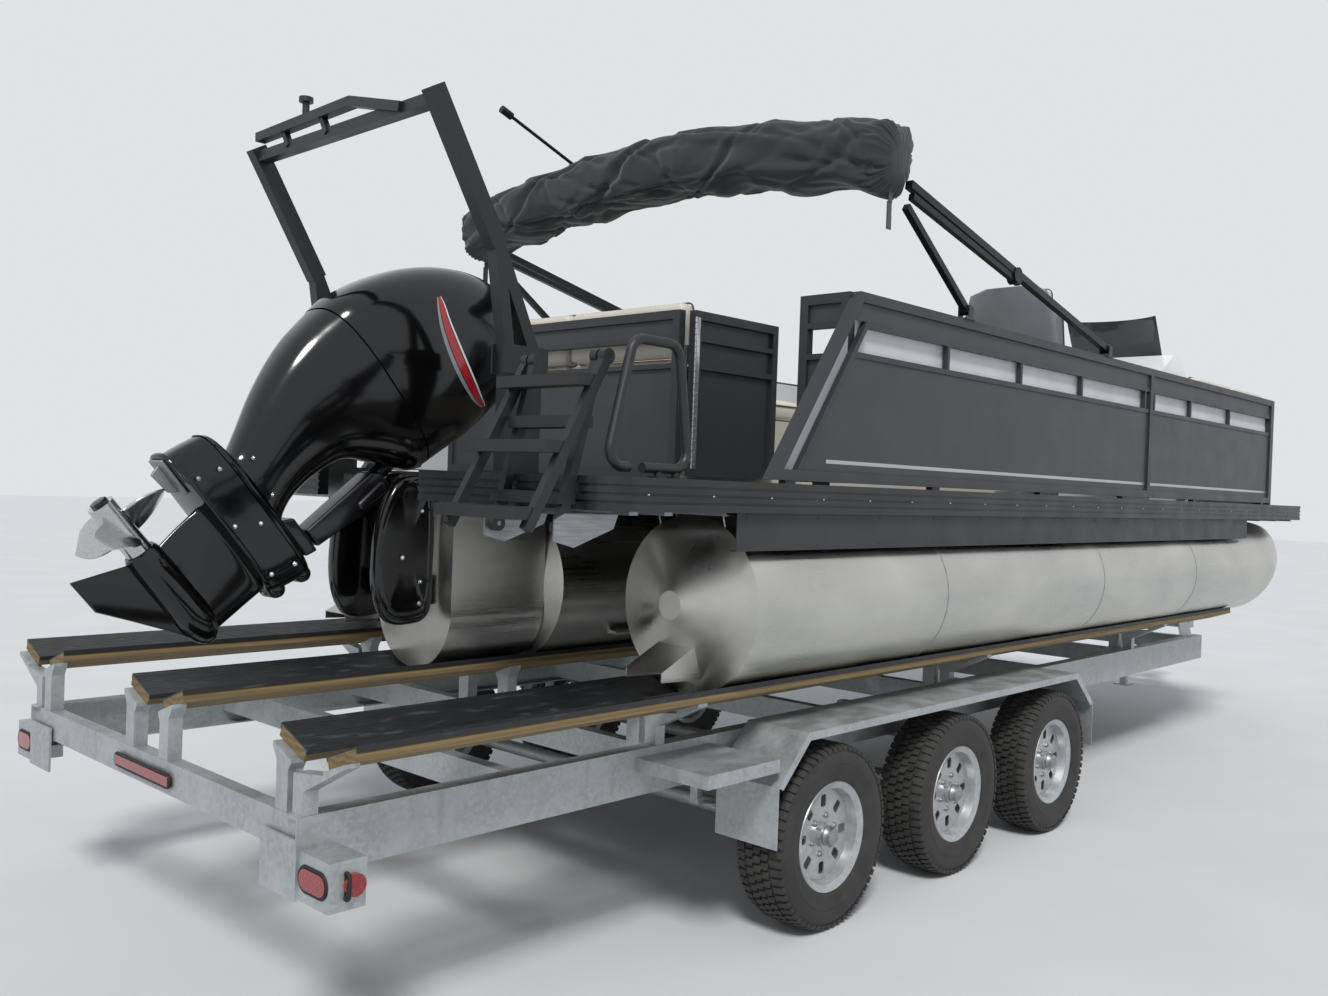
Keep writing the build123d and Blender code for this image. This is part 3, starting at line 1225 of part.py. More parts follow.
# Winch post: a braced mast on the tongue with a bow stop and a hand winch
bow_stop_radius = 45
bow_stop_set = 110
winch_x = tube_front_x + bow_stop_radius + bow_stop_set + seat_gap
winch_top_z = tube_centre_z + nose_tip_rise + 20
with BuildPart() as winch_post:
    add(block(winch_x - 260, winch_x + 60, -30, 30, frame_bottom_z + 110.3, frame_bottom_z + 125))
    add(member((winch_x, 0, frame_bottom_z + 120), (winch_x, 0, winch_top_z), 76, 76))
    add(member((winch_x - 240, 0, frame_bottom_z + 118), (winch_x - 10, 0, winch_top_z - 250), 50, 50))
    add(block(winch_x - 90, winch_x + 40, -38, 38, winch_top_z - 60, winch_top_z))
    add(boss(winch_x - bow_stop_set, winch_top_z - 20, -75, 75, bow_stop_radius))
    add(block(winch_x - 60, winch_x + 120, -42, -36, winch_top_z - 0.0, winch_top_z + 110))
    add(block(winch_x - 60, winch_x + 120, 36, 42, winch_top_z - 0.0, winch_top_z + 110))
    add(block(winch_x - 60, winch_x + 120, -42, 42, winch_top_z - 4, winch_top_z + 3))
    add(boss(winch_x + 30, winch_top_z + 60, -37, 37, 32))
    add(boss(winch_x + 30, winch_top_z + 60, 40, 80, 8))
    add(member((winch_x + 30, 76, winch_top_z + 60), (winch_x + 190, 76, winch_top_z + 160), 8, 24))
    add(boss(winch_x + 185, winch_top_z + 157, 74, 160, 13))
winch_post.part.label = "winch_post"
export_step(winch_post.part, "parts/winch_post.step")

# Bunks: pairs of boards leaning in against each tube, capped, on channel uprights
contact_y = tube_radius * sin(radians(bunk_slope))
contact_z = tube_centre_z - tube_radius * cos(radians(bunk_slope))
bunk_run = bunk_front_x - bunk_aft_x
outward_shift = 8


def bunk_plane(y, side, x, lift):
    """A plane across one board: its first direction up the slope, its second square out of the board."""
    slope = radians(bunk_slope)
    up_slope = Vector(0, side * cos(slope), sin(slope))
    square = Vector(0, -side * sin(slope), cos(slope))
    foot = Vector(x, y + side * contact_y, contact_z) + up_slope * outward_shift + square * (lift - seat_gap)
    return Plane(origin=foot, x_dir=up_slope, z_dir=up_slope.cross(square))


def bunk_section(y, side, points):
    """One long piece of a bunk from its section, drawn as (up the slope, above the board's top)."""
    with BuildPart() as piece:
        plane = bunk_plane(y, side, bunk_aft_x if side > 0 else bunk_front_x, 0)
        with BuildSketch(plane):
            with BuildLine():
                Polyline(*points, close=True)
            make_face()
        extrude(amount=bunk_run)
    return piece.part


half_board = bunk_width / 2
board_points = [(-half_board, -cap_thickness - 0.2), (half_board, -cap_thickness - 0.2),
                (half_board, -cap_thickness - bunk_thickness), (-half_board, -cap_thickness - bunk_thickness)]
cap_lip = 16
cap_points = [(-half_board - cap_thickness, 0), (half_board + cap_thickness, 0),
              (half_board + cap_thickness, -cap_lip), (half_board + 0.3, -cap_lip),
              (half_board + 0.3, -cap_thickness),
              (-half_board - 0.3, -cap_thickness), (-half_board - 0.3, -cap_lip),
              (-half_board - cap_thickness, -cap_lip)]
with BuildPart() as bunk_boards:
    for y in lanes.values():
        for side in (-1, 1):
            add(bunk_section(y, side, board_points))
bunk_boards.part.label = "bunk_boards"
export_step(bunk_boards.part, "parts/bunk_boards.step")

with BuildPart() as bunk_caps:
    for y in lanes.values():
        for side in (-1, 1):
            add(bunk_section(y, side, cap_points))
bunk_caps.part.label = "bunk_caps"
export_step(bunk_caps.part, "parts/bunk_caps.step")

upright_stations = [frame_aft_x + 40, stern_x + 600, stern_x + 2640, frame_front_x - 1250]
upright_width = 46
board_under = cap_thickness + bunk_thickness + seat_gap
with BuildPart() as bunk_uprights:
    for x in upright_stations:
        for y in lanes.values():
            for side in (-1, 1):
                slope = radians(bunk_slope)
                y_low = y + side * (contact_y + (outward_shift - 52) * cos(slope) + board_under * sin(slope))
                y_high = y + side * (contact_y + (outward_shift + 52) * cos(slope) + board_under * sin(slope))
                z_low = contact_z + (outward_shift - 52) * sin(slope) - board_under * cos(slope) - 0.7
                z_high = contact_z + (outward_shift + 52) * sin(slope) - board_under * cos(slope) - 0.7
                outboard = abs(y_high) > frame_y
                foot_out = side * (frame_y - 4) if outboard else y_high - side * 22
                foot_in = side * (frame_y - frame_rail_width + 4) if outboard else y_low + side * 14
                foot_z = frame_top_z + seat_gap if outboard else frame_top_z - rail_web + seat_gap
                with BuildSketch(across(x - upright_width / 2)):
                    with BuildLine():
                        Polyline((y_low, z_low), (y_high, z_high), (y_high, z_high - 12),
                                 (foot_out, min(z_low - 12, z_high - 12 - abs(y_high - foot_out) * 0.5)),
                                 (foot_out, foot_z), (foot_in, foot_z), (foot_in, z_low - 30),
                                 (y_low, z_low - 10), close=True)
                    make_face()
                extrude(amount=upright_width)
bunk_uprights.part.label = "bunk_uprights"
export_step(bunk_uprights.part, "parts/bunk_uprights.step")

# Running gear: axles on leaf springs, three wheels a side
axle_z = wheel_radius
axle_radius = 30
spring_y = frame_y - frame_rail_width / 2
spring_width = 45
spring_seat_z = axle_z + axle_radius
hanger_z = 478
axle_xs = [first_axle_x + i * axle_spacing for i in range(axle_count)]
hub_inner_y = wheel_outer_y - wheel_width + 5
spindle_radius = 19
with BuildPart() as axles:
    for x in axle_xs:
        add(rod((x, -hub_inner_y + 20, axle_z), (x, hub_inner_y - 20, axle_z), axle_radius))
        add(rod((x, -wheel_outer_y + 66, axle_z), (x, wheel_outer_y - 66, axle_z), spindle_radius))
axles.part.label = "axles"
export_step(axles.part, "parts/axles.step")

leaf_gap = 8
with BuildPart() as springs:
    for side in (-1, 1):
        y = side * spring_y
        for x in axle_xs:
            fore, aft = x + axle_spacing / 2 - 75, x - axle_spacing / 2 + 75
            for reach, low in ((1, 0), (0.72, 1), (0.45, 2)):
                x0, x1 = x - (x - aft) * reach, x + (fore - x) * reach
                z_mid = spring_seat_z + 10 + (2 - low) * leaf_gap
                rise = (hanger_z - spring_seat_z - 12 - 2 * leaf_gap) * reach ** 2
                add(member((x0, y, z_mid + rise), (x - 60, y, z_mid + 1), spring_width, 8))
                add(member((x + 60, y, z_mid + 1), (x1, y, z_mid + rise), spring_width, 8))
                add(block(x - 64, x + 64, y - spring_width / 2, y + spring_width / 2, z_mid - 3.9, z_mid + 5))
            add(block(x - 45, x + 45, y - 32, y + 32, spring_seat_z + 0.3, spring_seat_z + 8))
            for end in (aft, fore):
                add(rod((end, y - spring_width / 2, hanger_z + 2),
                        (end, y + spring_width / 2, hanger_z + 2), 16))
                add(member((end, y, hanger_z + 2), (end, y, frame_bottom_z - 0.3), 34, 30))
springs.part.label = "springs"
export_step(springs.part, "parts/springs.step")

# Fenders: flat-topped plate over three wheels, with a step ahead of each end and brackets to the rail
fender_top_z = 762
fender_low_z = 372
fender_gap = 26
fender_inner_y = frame_y + 4
fender_outer_y = wheel_outer_y + 5
fender_wall = 4
fender_aft_x = axle_xs[0] - wheel_radius - fender_gap
fender_front_x = axle_xs[-1] + wheel_radius + fender_gap + 40
fender_outer_line = [(fender_aft_x, fender_low_z), (fender_aft_x, 590), (fender_aft_x + 170, fender_top_z),
                     (fender_front_x - 200, fender_top_z), (fender_front_x, 590),
                     (fender_front_x, fender_low_z)]
fender_inner_line = [(fender_aft_x + fender_wall, fender_low_z), (fender_aft_x + fender_wall, 588),
                     (fender_aft_x + 172, fender_top_z - fender_wall),
                     (fender_front_x - 202, fender_top_z - fender_wall),
                     (fender_front_x - fender_wall, 588), (fender_front_x - fender_wall, fender_low_z)]
with BuildPart() as fenders:
    for side in (-1, 1):
        shell = fender_outer_line + fender_inner_line[::-1]
        add(side_plate(shell, side * (fender_inner_y + 40), side * fender_outer_y))
        lip = [(x, z) for x, z in fender_outer_line[1:5]] + [
            (fender_front_x - 28, 578), (fender_front_x - 212, fender_top_z - 30),
            (fender_aft_x + 182, fender_top_z - 30), (fender_aft_x + 28, 578)]
        add(side_plate(lip, side * (fender_outer_y - 3), side * fender_outer_y))
        for x in (axle_xs[0] + axle_spacing / 2, axle_xs[1] + axle_spacing / 2):
            add(block(x - 25, x + 25, side * (frame_y + seat_gap), side * (fender_inner_y + 60),
                      frame_top_z - 30, fender_top_z - fender_wall))
        add(block(fender_aft_x - 380, fender_aft_x + 2, side * (frame_y + seat_gap), side * fender_outer_y,
                  frame_top_z - 34, frame_top_z - 28))
        add(block(fender_aft_x - 380, fender_aft_x - 374, side * (frame_y + seat_gap), side * fender_outer_y,
                  frame_top_z - 74, frame_top_z - 28))
        add(block(fender_aft_x - 380, fender_aft_x + 2, side * (fender_outer_y - 5), side * fender_outer_y,
                  frame_top_z - 74, frame_top_z - 28))
fenders.part.label = "fenders"
export_step(fenders.part, "parts/fenders.step")

# Tail lights: boxes on the frame's after corners, lamps set in them, and a centre bar
light_box_y0, light_box_y1 = frame_y + seat_gap, frame_y + 150
lamp_width = 126
lamp_height = 56
light_box_z0, light_box_z1 = 505, 635
light_box_x = frame_aft_x + 8 + seat_gap
with BuildPart() as light_boxes:
    for side in (-1, 1):
        add(block(light_box_x, light_box_x + 110, side * light_box_y0, side * light_box_y1,
                  light_box_z0, light_box_z1))
        with BuildSketch(Plane(origin=(light_box_x + 16, side * (light_box_y0 + light_box_y1) / 2,
                                       (light_box_z0 + light_box_z1) / 2), x_dir=(0, 1, 0),
                               z_dir=(-1, 0, 0))):
            SlotOverall(lamp_width + 2 * seat_gap, lamp_height + 2 * seat_gap)
        extrude(amount=20, mode=Mode.SUBTRACT)
light_boxes.part.label = "light_boxes"
export_step(light_boxes.part, "parts/light_boxes.step")

with BuildPart() as lamps:
    for side in (-1, 1):
        y_mid = side * (light_box_y0 + light_box_y1) / 2
        with BuildSketch(Plane(origin=(light_box_x + 14, y_mid, (light_box_z0 + light_box_z1) / 2),
                               x_dir=(0, 1, 0), z_dir=(-1, 0, 0))):
            SlotOverall(lamp_width, lamp_height)
        extrude(amount=20)
        with BuildSketch(Plane(origin=(light_box_x + 72, side * (light_box_y1 + seat_gap),
                                       (light_box_z0 + light_box_z1) / 2), z_dir=(0, side, 0))):
            Circle(30)
        extrude(amount=14)
    add(block(frame_aft_x + 40 - cross_width / 2 - 16, frame_aft_x + 40 - cross_width / 2 - seat_gap, -200,
              200,
              frame_top_z - 75, frame_top_z - 45))
lamps.part.label = "lamps"
export_step(lamps.part, "parts/lamps.step")

# Wheels: tyre revolved from its section, steel rim with eight windows round a hub
rim_radius = 200
rim_half = 76
bead_radius = 188
vent_count = 8


def tyre(x, side):
    """The tyre: flat tread, rounded shoulders, sidewalls down to the bead."""
    mid = wheel_outer_y - wheel_width / 2
    half = wheel_width / 2
    with BuildPart() as body:
        with BuildSketch(Plane(origin=(x, side * mid, axle_z), x_dir=(1, 0, 0), z_dir=(0, 0, 1))):
            with BuildLine():
                Polyline((bead_radius + 4, -rim_half + 1), (rim_radius + 10, -rim_half + 1),
                         (rim_radius + 17, -half + 11), (wheel_radius - 58, -half),
                         (wheel_radius - 16, -half + 9),
                         (wheel_radius, -half + 34), (wheel_radius, half - 34), (wheel_radius - 16, half - 9),
                         (wheel_radius - 58, half), (rim_radius + 17, half - 11),
                         (rim_radius + 10, rim_half - 1),
                         (bead_radius + 4, rim_half - 1), close=True)
            make_face()
        revolve(axis=Axis((x, side * mid, axle_z), (0, 1, 0)))
    return body.part


def rim(x, side):
    """The rim: drop barrel, vented disc and hub with its cap."""
    mid = side * (wheel_outer_y - wheel_width / 2)
    face = mid + side * 36
    with BuildPart() as wheel:
        with BuildSketch(Plane(origin=(x, mid, axle_z), x_dir=(1, 0, 0), z_dir=(0, 0, 1))):
            with BuildLine():
                Polyline((bead_radius + 3.7, -rim_half), (rim_radius + 6, -rim_half - 8),
                         (rim_radius + 3, -rim_half - 12),
                         (bead_radius - 10, -rim_half), (bead_radius - 22, -30), (bead_radius - 22, 30),
                         (bead_radius - 10, rim_half), (rim_radius + 3, rim_half + 12),
                         (rim_radius + 6, rim_half + 8),
                         (bead_radius + 3.7, rim_half), (bead_radius - 17, 34), (bead_radius - 17, -34),
                         close=True)
            make_face()
        revolve(axis=Axis((x, mid, axle_z), (0, 1, 0)))
        with BuildSketch(Plane(origin=(x, face, axle_z), x_dir=(1, 0, 0), z_dir=(0, side, 0))):
            Circle(bead_radius - 20)
            Circle(44, mode=Mode.SUBTRACT)
            with PolarLocations(126, vent_count):
                RectangleRounded(46, 34, 10, mode=Mode.SUBTRACT)
        extrude(amount=5)
        with BuildSketch(Plane(origin=(x, mid - side * 62, axle_z), x_dir=(1, 0, 0), z_dir=(0, side, 0))):
            Circle(46)
        extrude(amount=124)
        with BuildSketch(Plane(origin=(x, mid - side * 63, axle_z), x_dir=(1, 0, 0), z_dir=(0, side, 0))):
            Circle(spindle_radius + 0.05)
        extrude(amount=104, mode=Mode.SUBTRACT)
    return wheel.part


sides = {"port": 1, "starboard": -1}
for side_name, side in sides.items():
    for number, x in enumerate(axle_xs, start=1):
        wheel_tyre = tyre(x, side)
        wheel_tyre.label = f"{side_name}_tyre_{number}"
        export_step(wheel_tyre, f"parts/{side_name}_tyre_{number}.step")
        wheel_rim = rim(x, side)
        wheel_rim.label = f"{side_name}_rim_{number}"
        export_step(wheel_rim, f"parts/{side_name}_rim_{number}.step")
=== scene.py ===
import json
from math import asin, atan2, cos, hypot, pi, radians, sin, sqrt

import bmesh
import bpy
from mathutils import Matrix, Vector
from mathutils.bvhtree import BVHTree


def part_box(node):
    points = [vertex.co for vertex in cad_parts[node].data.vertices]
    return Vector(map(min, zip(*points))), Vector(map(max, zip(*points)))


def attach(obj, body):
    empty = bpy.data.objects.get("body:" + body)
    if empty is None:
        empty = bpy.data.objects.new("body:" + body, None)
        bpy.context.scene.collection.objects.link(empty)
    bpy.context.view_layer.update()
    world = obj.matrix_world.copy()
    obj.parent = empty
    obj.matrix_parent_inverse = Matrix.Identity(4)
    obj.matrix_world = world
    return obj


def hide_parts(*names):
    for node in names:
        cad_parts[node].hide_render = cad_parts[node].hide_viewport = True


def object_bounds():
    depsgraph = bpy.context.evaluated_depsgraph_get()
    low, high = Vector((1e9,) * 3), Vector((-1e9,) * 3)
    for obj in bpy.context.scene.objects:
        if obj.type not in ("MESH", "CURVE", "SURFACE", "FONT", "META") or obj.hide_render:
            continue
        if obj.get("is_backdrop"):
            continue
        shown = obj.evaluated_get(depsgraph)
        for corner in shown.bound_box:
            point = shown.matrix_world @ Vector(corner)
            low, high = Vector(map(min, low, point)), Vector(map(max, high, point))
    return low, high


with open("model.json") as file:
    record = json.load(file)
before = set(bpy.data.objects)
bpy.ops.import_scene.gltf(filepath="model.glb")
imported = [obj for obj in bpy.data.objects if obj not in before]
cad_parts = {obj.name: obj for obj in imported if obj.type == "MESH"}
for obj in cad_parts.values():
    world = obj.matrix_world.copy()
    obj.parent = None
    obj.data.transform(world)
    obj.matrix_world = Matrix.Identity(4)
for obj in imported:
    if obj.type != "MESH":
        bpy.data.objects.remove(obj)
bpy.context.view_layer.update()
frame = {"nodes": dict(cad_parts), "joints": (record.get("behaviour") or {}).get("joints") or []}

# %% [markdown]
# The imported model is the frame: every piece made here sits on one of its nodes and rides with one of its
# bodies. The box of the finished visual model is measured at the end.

nodes = frame["nodes"]
ROOT = "boat_and_trailer"
SIDES = ((-1, "starboard"), (1, "port"))
ORIGIN, X_AXIS, Y_AXIS, Z_AXIS = (0, 0, 0), (1, 0, 0), (0, 1, 0), (0, 0, 1)
joint_by_name = {joint["name"]: joint for joint in frame["joints"]}

# %% [markdown]
# The camera repeats a person's view from behind and beside the boat, standing low on its starboard quarter.
# It could be aimed at a target, but a place and three angles are easier to read and to correct, so those
# are used. Yaw turns from +X toward +Y, pitch looks up, and roll leans the picture.

# %% Camera
CAMERA_PLACE = Vector((-6.202, -3.702, 1.622))
CAMERA_YAW, CAMERA_PITCH, CAMERA_ROLL = radians(42.96), radians(-0.56), radians(2.07)
LENS_MM, SENSOR_MM = 31.33, 36.0


def scene_object(name, data):
    """An object in the scene's own collection."""
    made = bpy.data.objects.new(name, data)
    bpy.context.scene.collection.objects.link(made)
    return made


def camera_matrix(yaw, pitch, roll):
    """The turn that points a camera along yaw and pitch, then leans it."""
    ahead = Vector((cos(yaw) * cos(pitch), sin(yaw) * cos(pitch), sin(pitch)))
    right = Vector((sin(yaw), -cos(yaw), 0))
    up = right.cross(ahead)
    leaned_right = right * cos(roll) + up * sin(roll)
    leaned_up = up * cos(roll) - right * sin(roll)
    return Matrix((leaned_right, leaned_up, -ahead)).transposed().to_4x4()


camera = scene_object("photo_camera", bpy.data.cameras.new("photo_camera"))
camera.data.lens = LENS_MM
camera.data.sensor_width = SENSOR_MM
camera.matrix_world = Matrix.Translation(CAMERA_PLACE) @ camera_matrix(CAMERA_YAW, CAMERA_PITCH, CAMERA_ROLL)
bpy.context.scene.camera = camera
bpy.context.scene.view_settings.view_transform = "Standard"
print("camera", tuple(round(v, 2) for v in CAMERA_PLACE), "lens", LENS_MM)

# %% [markdown]
# A finish in Blender is a small network of nodes. Colours are picked as hex values, which are sRGB, while
# the shader wants linear light, so one function turns them. A second function adds a node, sets it up and
# links it, and it is the only way in which nodes are made here. Three more build on it: a cloudy grain, one
# colour laid over another, and the last links into a material's shader.

# %% Colour and node helpers
finish = {}


def shade(hex_code):
    """A hex sRGB colour as linear red, green, blue and alpha."""
    channels = [int(hex_code[i:i + 2], 16) / 255 for i in (1, 3, 5)]
    return tuple(c / 12.92 if c <= 0.04045 else ((c + 0.055) / 1.055) ** 2.4 for c in channels) + (1.0,)


def fill(tree, node, inputs):
    """Gives each named input of a node its value or its link."""
    for key, value in inputs.items():
        if isinstance(value, bpy.types.NodeSocket):
            tree.links.new(value, node.inputs[key])
        else:
            node.inputs[key].default_value = value


def add_node(tree, kind, inputs=None, **settings):
    """Adds a node, applies its settings, and fills its inputs with values or links."""
    node = tree.nodes.new(kind)
    for key, value in settings.items():
        setattr(node, key, value)
    fill(tree, node, inputs or {})
    return node


def new_finish(key, name):
    """A material with nothing but its shader, kept under a short key. What comes back is its tree."""
    finish[key] = bpy.data.materials.new(name)
    finish[key].use_nodes = True
    return finish[key].node_tree


def surface_grain(tree, size_mm, stretch=(1, 1, 1), detail=4):
    """Cloudy variation of one real size, drawn out along the axes whose stretch is over 1."""
    place = add_node(tree, "ShaderNodeTexCoord")
    scale = [1000 / size_mm / s for s in stretch]
    fitted = add_node(tree, "ShaderNodeMapping", {"Vector": place.outputs["Object"], "Scale": scale})
    cloud = add_node(tree, "ShaderNodeTexNoise", {"Vector": fitted.outputs[0], "Scale": 1.0,
                                                  "Detail": detail})
    return cloud.outputs["Fac"]


def laid_over(tree, pattern, first, second, most=1.0, start=0.3, stop=0.7):
    """The second colour over the first: none of it where the pattern is at start, the most of it at stop."""
    span = {"Value": pattern, "From Min": start, "From Max": stop, "To Min": 0.0, "To Max": most}
    share = add_node(tree, "ShaderNodeMapRange", span)
    mixed = add_node(tree, "ShaderNodeMix", {0: share.outputs[0], 6: first, 7: second}, data_type="RGBA")
    return mixed.outputs[2]


def fill_shader(tree, inputs, worn=None, relief=None):
    """Fills in the shader. Worn is a pattern with two roughnesses, relief a height with its depth in mm."""
    inputs = dict(inputs)
    if worn:
        span = {"Value": worn[0], "From Min": 0.3, "From Max": 0.7, "To Min": worn[1], "To Max": worn[2]}
        inputs["Roughness"] = add_node(tree, "ShaderNodeMapRange", span).outputs[0]
    if relief:
        bump = add_node(tree, "ShaderNodeBump", {"Height": relief[0], "Distance": relief[1] / 1000,
                                                 "Strength": 1.0})
        inputs["Normal"] = bump.outputs[0]
    fill(tree, tree.nodes["Principled BSDF"], inputs)


print("helpers ready")

# %% [markdown]
# Most finishes on a boat are one colour that isn't quite even: a coat of paint, a moulded skin or a rolled
# sheet. They differ in tint, gloss, the size of their grain and its depth, so one table with named columns
# says it all. The second colour is what dust, wear or thin paint does to the first.

# %% Table of painted, moulded and rolled finishes
# Columns: key, name of the real finish, colour, second colour, roughness low and high, metallic,
# grain in mm, stretch of the grain, relief in mm, coat
EVEN = (1, 1, 1)
FINISHES = [
    ("mill", "mill_finish_aluminium", "#8E9092", "#A9ABAD", 0.35, 0.55, 1.0, 9, (12, 1, 1), 0.05, 0.0),
    ("frame_paint", "powder_coated_dark_frame", "#2B2D30", "#36383B", 0.38, 0.50, 0.1, 2.5, EVEN, 0.04, 0.0),
    ("panel_paint", "satin_charcoal_sheet", "#3C3E41", "#404245", 0.42, 0.50, 0.25, 140, (3, 1, 1), 0.02,
     0.0),
    ("liner_paint", "pale_grey_painted_sheet", "#C9CBCD", "#D6D7D8", 0.38, 0.50, 0.0, 160, EVEN, 0.02, 0.0),
    ("rail_black", "black_extruded_rail", "#17181A", "#232426", 0.34, 0.48, 0.0, 40, (10, 1, 1), 0.06, 0.0),
    ("skirt_paint", "dark_grey_skirt_sheet", "#26282A", "#313335", 0.42, 0.55, 0.1, 120, (4, 1, 1), 0.03,
     0.0),
    ("base_mould", "rotomoulded_seat_base", "#B9B4AA", "#C4BFB6", 0.50, 0.62, 0.0, 3, EVEN, 0.12, 0.0),
    ("gel_coat", "white_gel_coat", "#E6E6E4", "#EEEEEC", 0.10, 0.18, 0.0, 220, EVEN, 0.02, 0.6),
    ("soft_grip", "soft_touch_rubber", "#151515", "#1E1E1E", 0.60, 0.72, 0.0, 1.4, EVEN, 0.10, 0.0),
    ("satin_post", "satin_anodised_aluminium", "#A6A8AA", "#B4B6B8", 0.28, 0.38, 1.0, 6, (1, 1, 14), 0.03,
     0.0),
    ("canopy_tube", "black_anodised_tube", "#1B1C1E", "#26272A", 0.30, 0.42, 0.6, 8, (8, 1, 1), 0.02, 0.0),
    ("powder_black", "black_powder_coat", "#1A1B1C", "#232425", 0.40, 0.52, 0.0, 1.8, EVEN, 0.09, 0.0),
    ("motor_gloss", "gloss_black_enamel", "#060607", "#0B0B0C", 0.10, 0.16, 0.0, 5, EVEN, 0.012, 0.15),
    ("motor_satin", "satin_black_casting", "#0E0E10", "#151517", 0.22, 0.34, 0.0, 2.2, EVEN, 0.08, 0.3),
    ("bright_steel", "polished_stainless_steel", "#B9BABB", "#CDCECF", 0.10, 0.20, 1.0, 5, (1, 6, 1), 0.02,
     0.0),
    ("rim_silver", "silver_painted_steel", "#A9ABAC", "#BDBFC0", 0.28, 0.40, 0.7, 30, EVEN, 0.03, 0.2),
    ("anode_grey", "cast_zinc", "#8A8D8F", "#9EA1A3", 0.50, 0.62, 0.8, 6, EVEN, 0.25, 0.0),
    ("dark_gap", "unlit_black_plastic", "#0A0A0A", "#101010", 0.70, 0.80, 0.0, 6, EVEN, 0.04, 0.0),
    ("stripe_silver", "satin_silver_trim", "#B5B7B9", "#C3C5C7", 0.26, 0.36, 0.9, 60, (8, 1, 1), 0.01, 0.0),
]
PATCH_MM, COAT_ROUGHNESS = 180, 0.04
for (key, name, colour, second, rough_low, rough_high, metal, grain, stretch, depth, coat) in FINISHES:
    tree = new_finish(key, name)
    cloud = surface_grain(tree, grain, stretch)
    patches = surface_grain(tree, PATCH_MM, detail=3)
    tint = laid_over(tree, cloud, shade(colour), shade(second))
    inputs = {"Base Color": tint, "Metallic": metal, "Coat Weight": coat, "Coat Roughness": COAT_ROUGHNESS}
    fill_shader(tree, inputs, (patches, rough_low, rough_high), (cloud, depth))
print(len(finish), "table finishes")

# %% [markdown]
# The pontoons are bright marine aluminium, rolled lengthwise and then handled, rinsed and rubbed.
# That gives long soft streaks, faint clouds from polishing, and small duller scuffs.
# Roughness carries the streaks, because on bare metal the eye reads gloss before colour.
# The end cones are spun, not rolled, so the streaks fade where the surface faces fore or aft.

# %% Brushed marine aluminium for the tubes
ROLL_STREAK_MM, POLISH_CLOUD_MM, SCUFF_MM = 6, 260, 38
tree = new_finish("tube_metal", "brushed_marine_aluminium")
streaks = surface_grain(tree, ROLL_STREAK_MM, (60, 1, 1), 5)
clouds = surface_grain(tree, POLISH_CLOUD_MM, (2, 1, 1))
scuffs = surface_grain(tree, SCUFF_MM, (5, 1, 1), 6)
facing = add_node(tree, "ShaderNodeSeparateXYZ", {0: add_node(tree, "ShaderNodeTexCoord").outputs["Normal"]})
end_on = add_node(tree, "ShaderNodeMath", {0: facing.outputs[0]}, operation="ABSOLUTE")
end_span = {"Value": end_on.outputs[0], "From Min": 0.25, "From Max": 0.5}
end_share = add_node(tree, "ShaderNodeMapRange", end_span)
rolled = add_node(tree, "ShaderNodeMix", {0: end_share.outputs[0], 2: streaks, 3: clouds},
                  data_type="FLOAT").outputs[0]
tint = laid_over(tree, clouds, shade("#BAB9B4"), shade("#D1CFC9"))
tint = laid_over(tree, scuffs, tint, shade("#A9A8A3"), 0.10, 0.60, 0.82)
parts = []
for value, low, high in ((rolled, 0.20, 0.34), (clouds, 0.0, 0.12)):
    span = {"Value": value, "From Min": 0.3, "From Max": 0.7, "To Min": low, "To Max": high}
    parts.append(add_node(tree, "ShaderNodeMapRange", span).outputs[0])
rough = add_node(tree, "ShaderNodeMath", {0: parts[0], 1: parts[1]}, operation="ADD")
fill_shader(tree, {"Base Color": tint, "Metallic": 1.0, "Roughness": rough.outputs[0], "Anisotropic": 0.4},
            relief=(rolled, 0.012))
print("made", finish["tube_metal"].name)

# %% [markdown]
# Hot dip galvanising leaves zinc crystals, the spangle, with white bloom and darker runs over them.
# A cell pattern gives each crystal its own grey, and two clouds of other sizes lay the bloom and the stains.

# %% Galvanised steel for the trailer
SPANGLE_MM, BLOOM_MM, RUN_MM = 14, 130, 45
tree = new_finish("galvanised", "hot_dip_galvanised_steel")
place = add_node(tree, "ShaderNodeTexCoord")
cells = add_node(tree, "ShaderNodeTexVoronoi", {"Vector": place.outputs["Object"],
                                                "Scale": 1000 / SPANGLE_MM})
cell_grey = add_node(tree, "ShaderNodeSeparateColor", {"Color": cells.outputs["Color"]}).outputs[0]
bloom = surface_grain(tree, BLOOM_MM, detail=6)
runs = surface_grain(tree, RUN_MM, (1, 1, 5), 5)
tint = laid_over(tree, cell_grey, shade("#A3A7A8"), shade("#B3B7B8"), start=0, stop=1)
tint = laid_over(tree, bloom, tint, shade("#BEC2C3"), 0.6, 0.42, 0.66)
tint = laid_over(tree, runs, tint, shade("#838889"), 0.28, 0.58, 0.78)
fill_shader(tree, {"Base Color": tint, "Metallic": 0.65}, (bloom, 0.38, 0.66), (runs, 0.25))
print("made", finish["galvanised"].name)

# %% [markdown]
# Bunk boards are treated softwood. Growth rings cut lengthwise show as long wandering bands,
# so a band pattern is bent by a cloud and drawn out along the board. Real rings are 3 to 6 mm apart.
# They are drawn about 24 mm apart, so that they show.

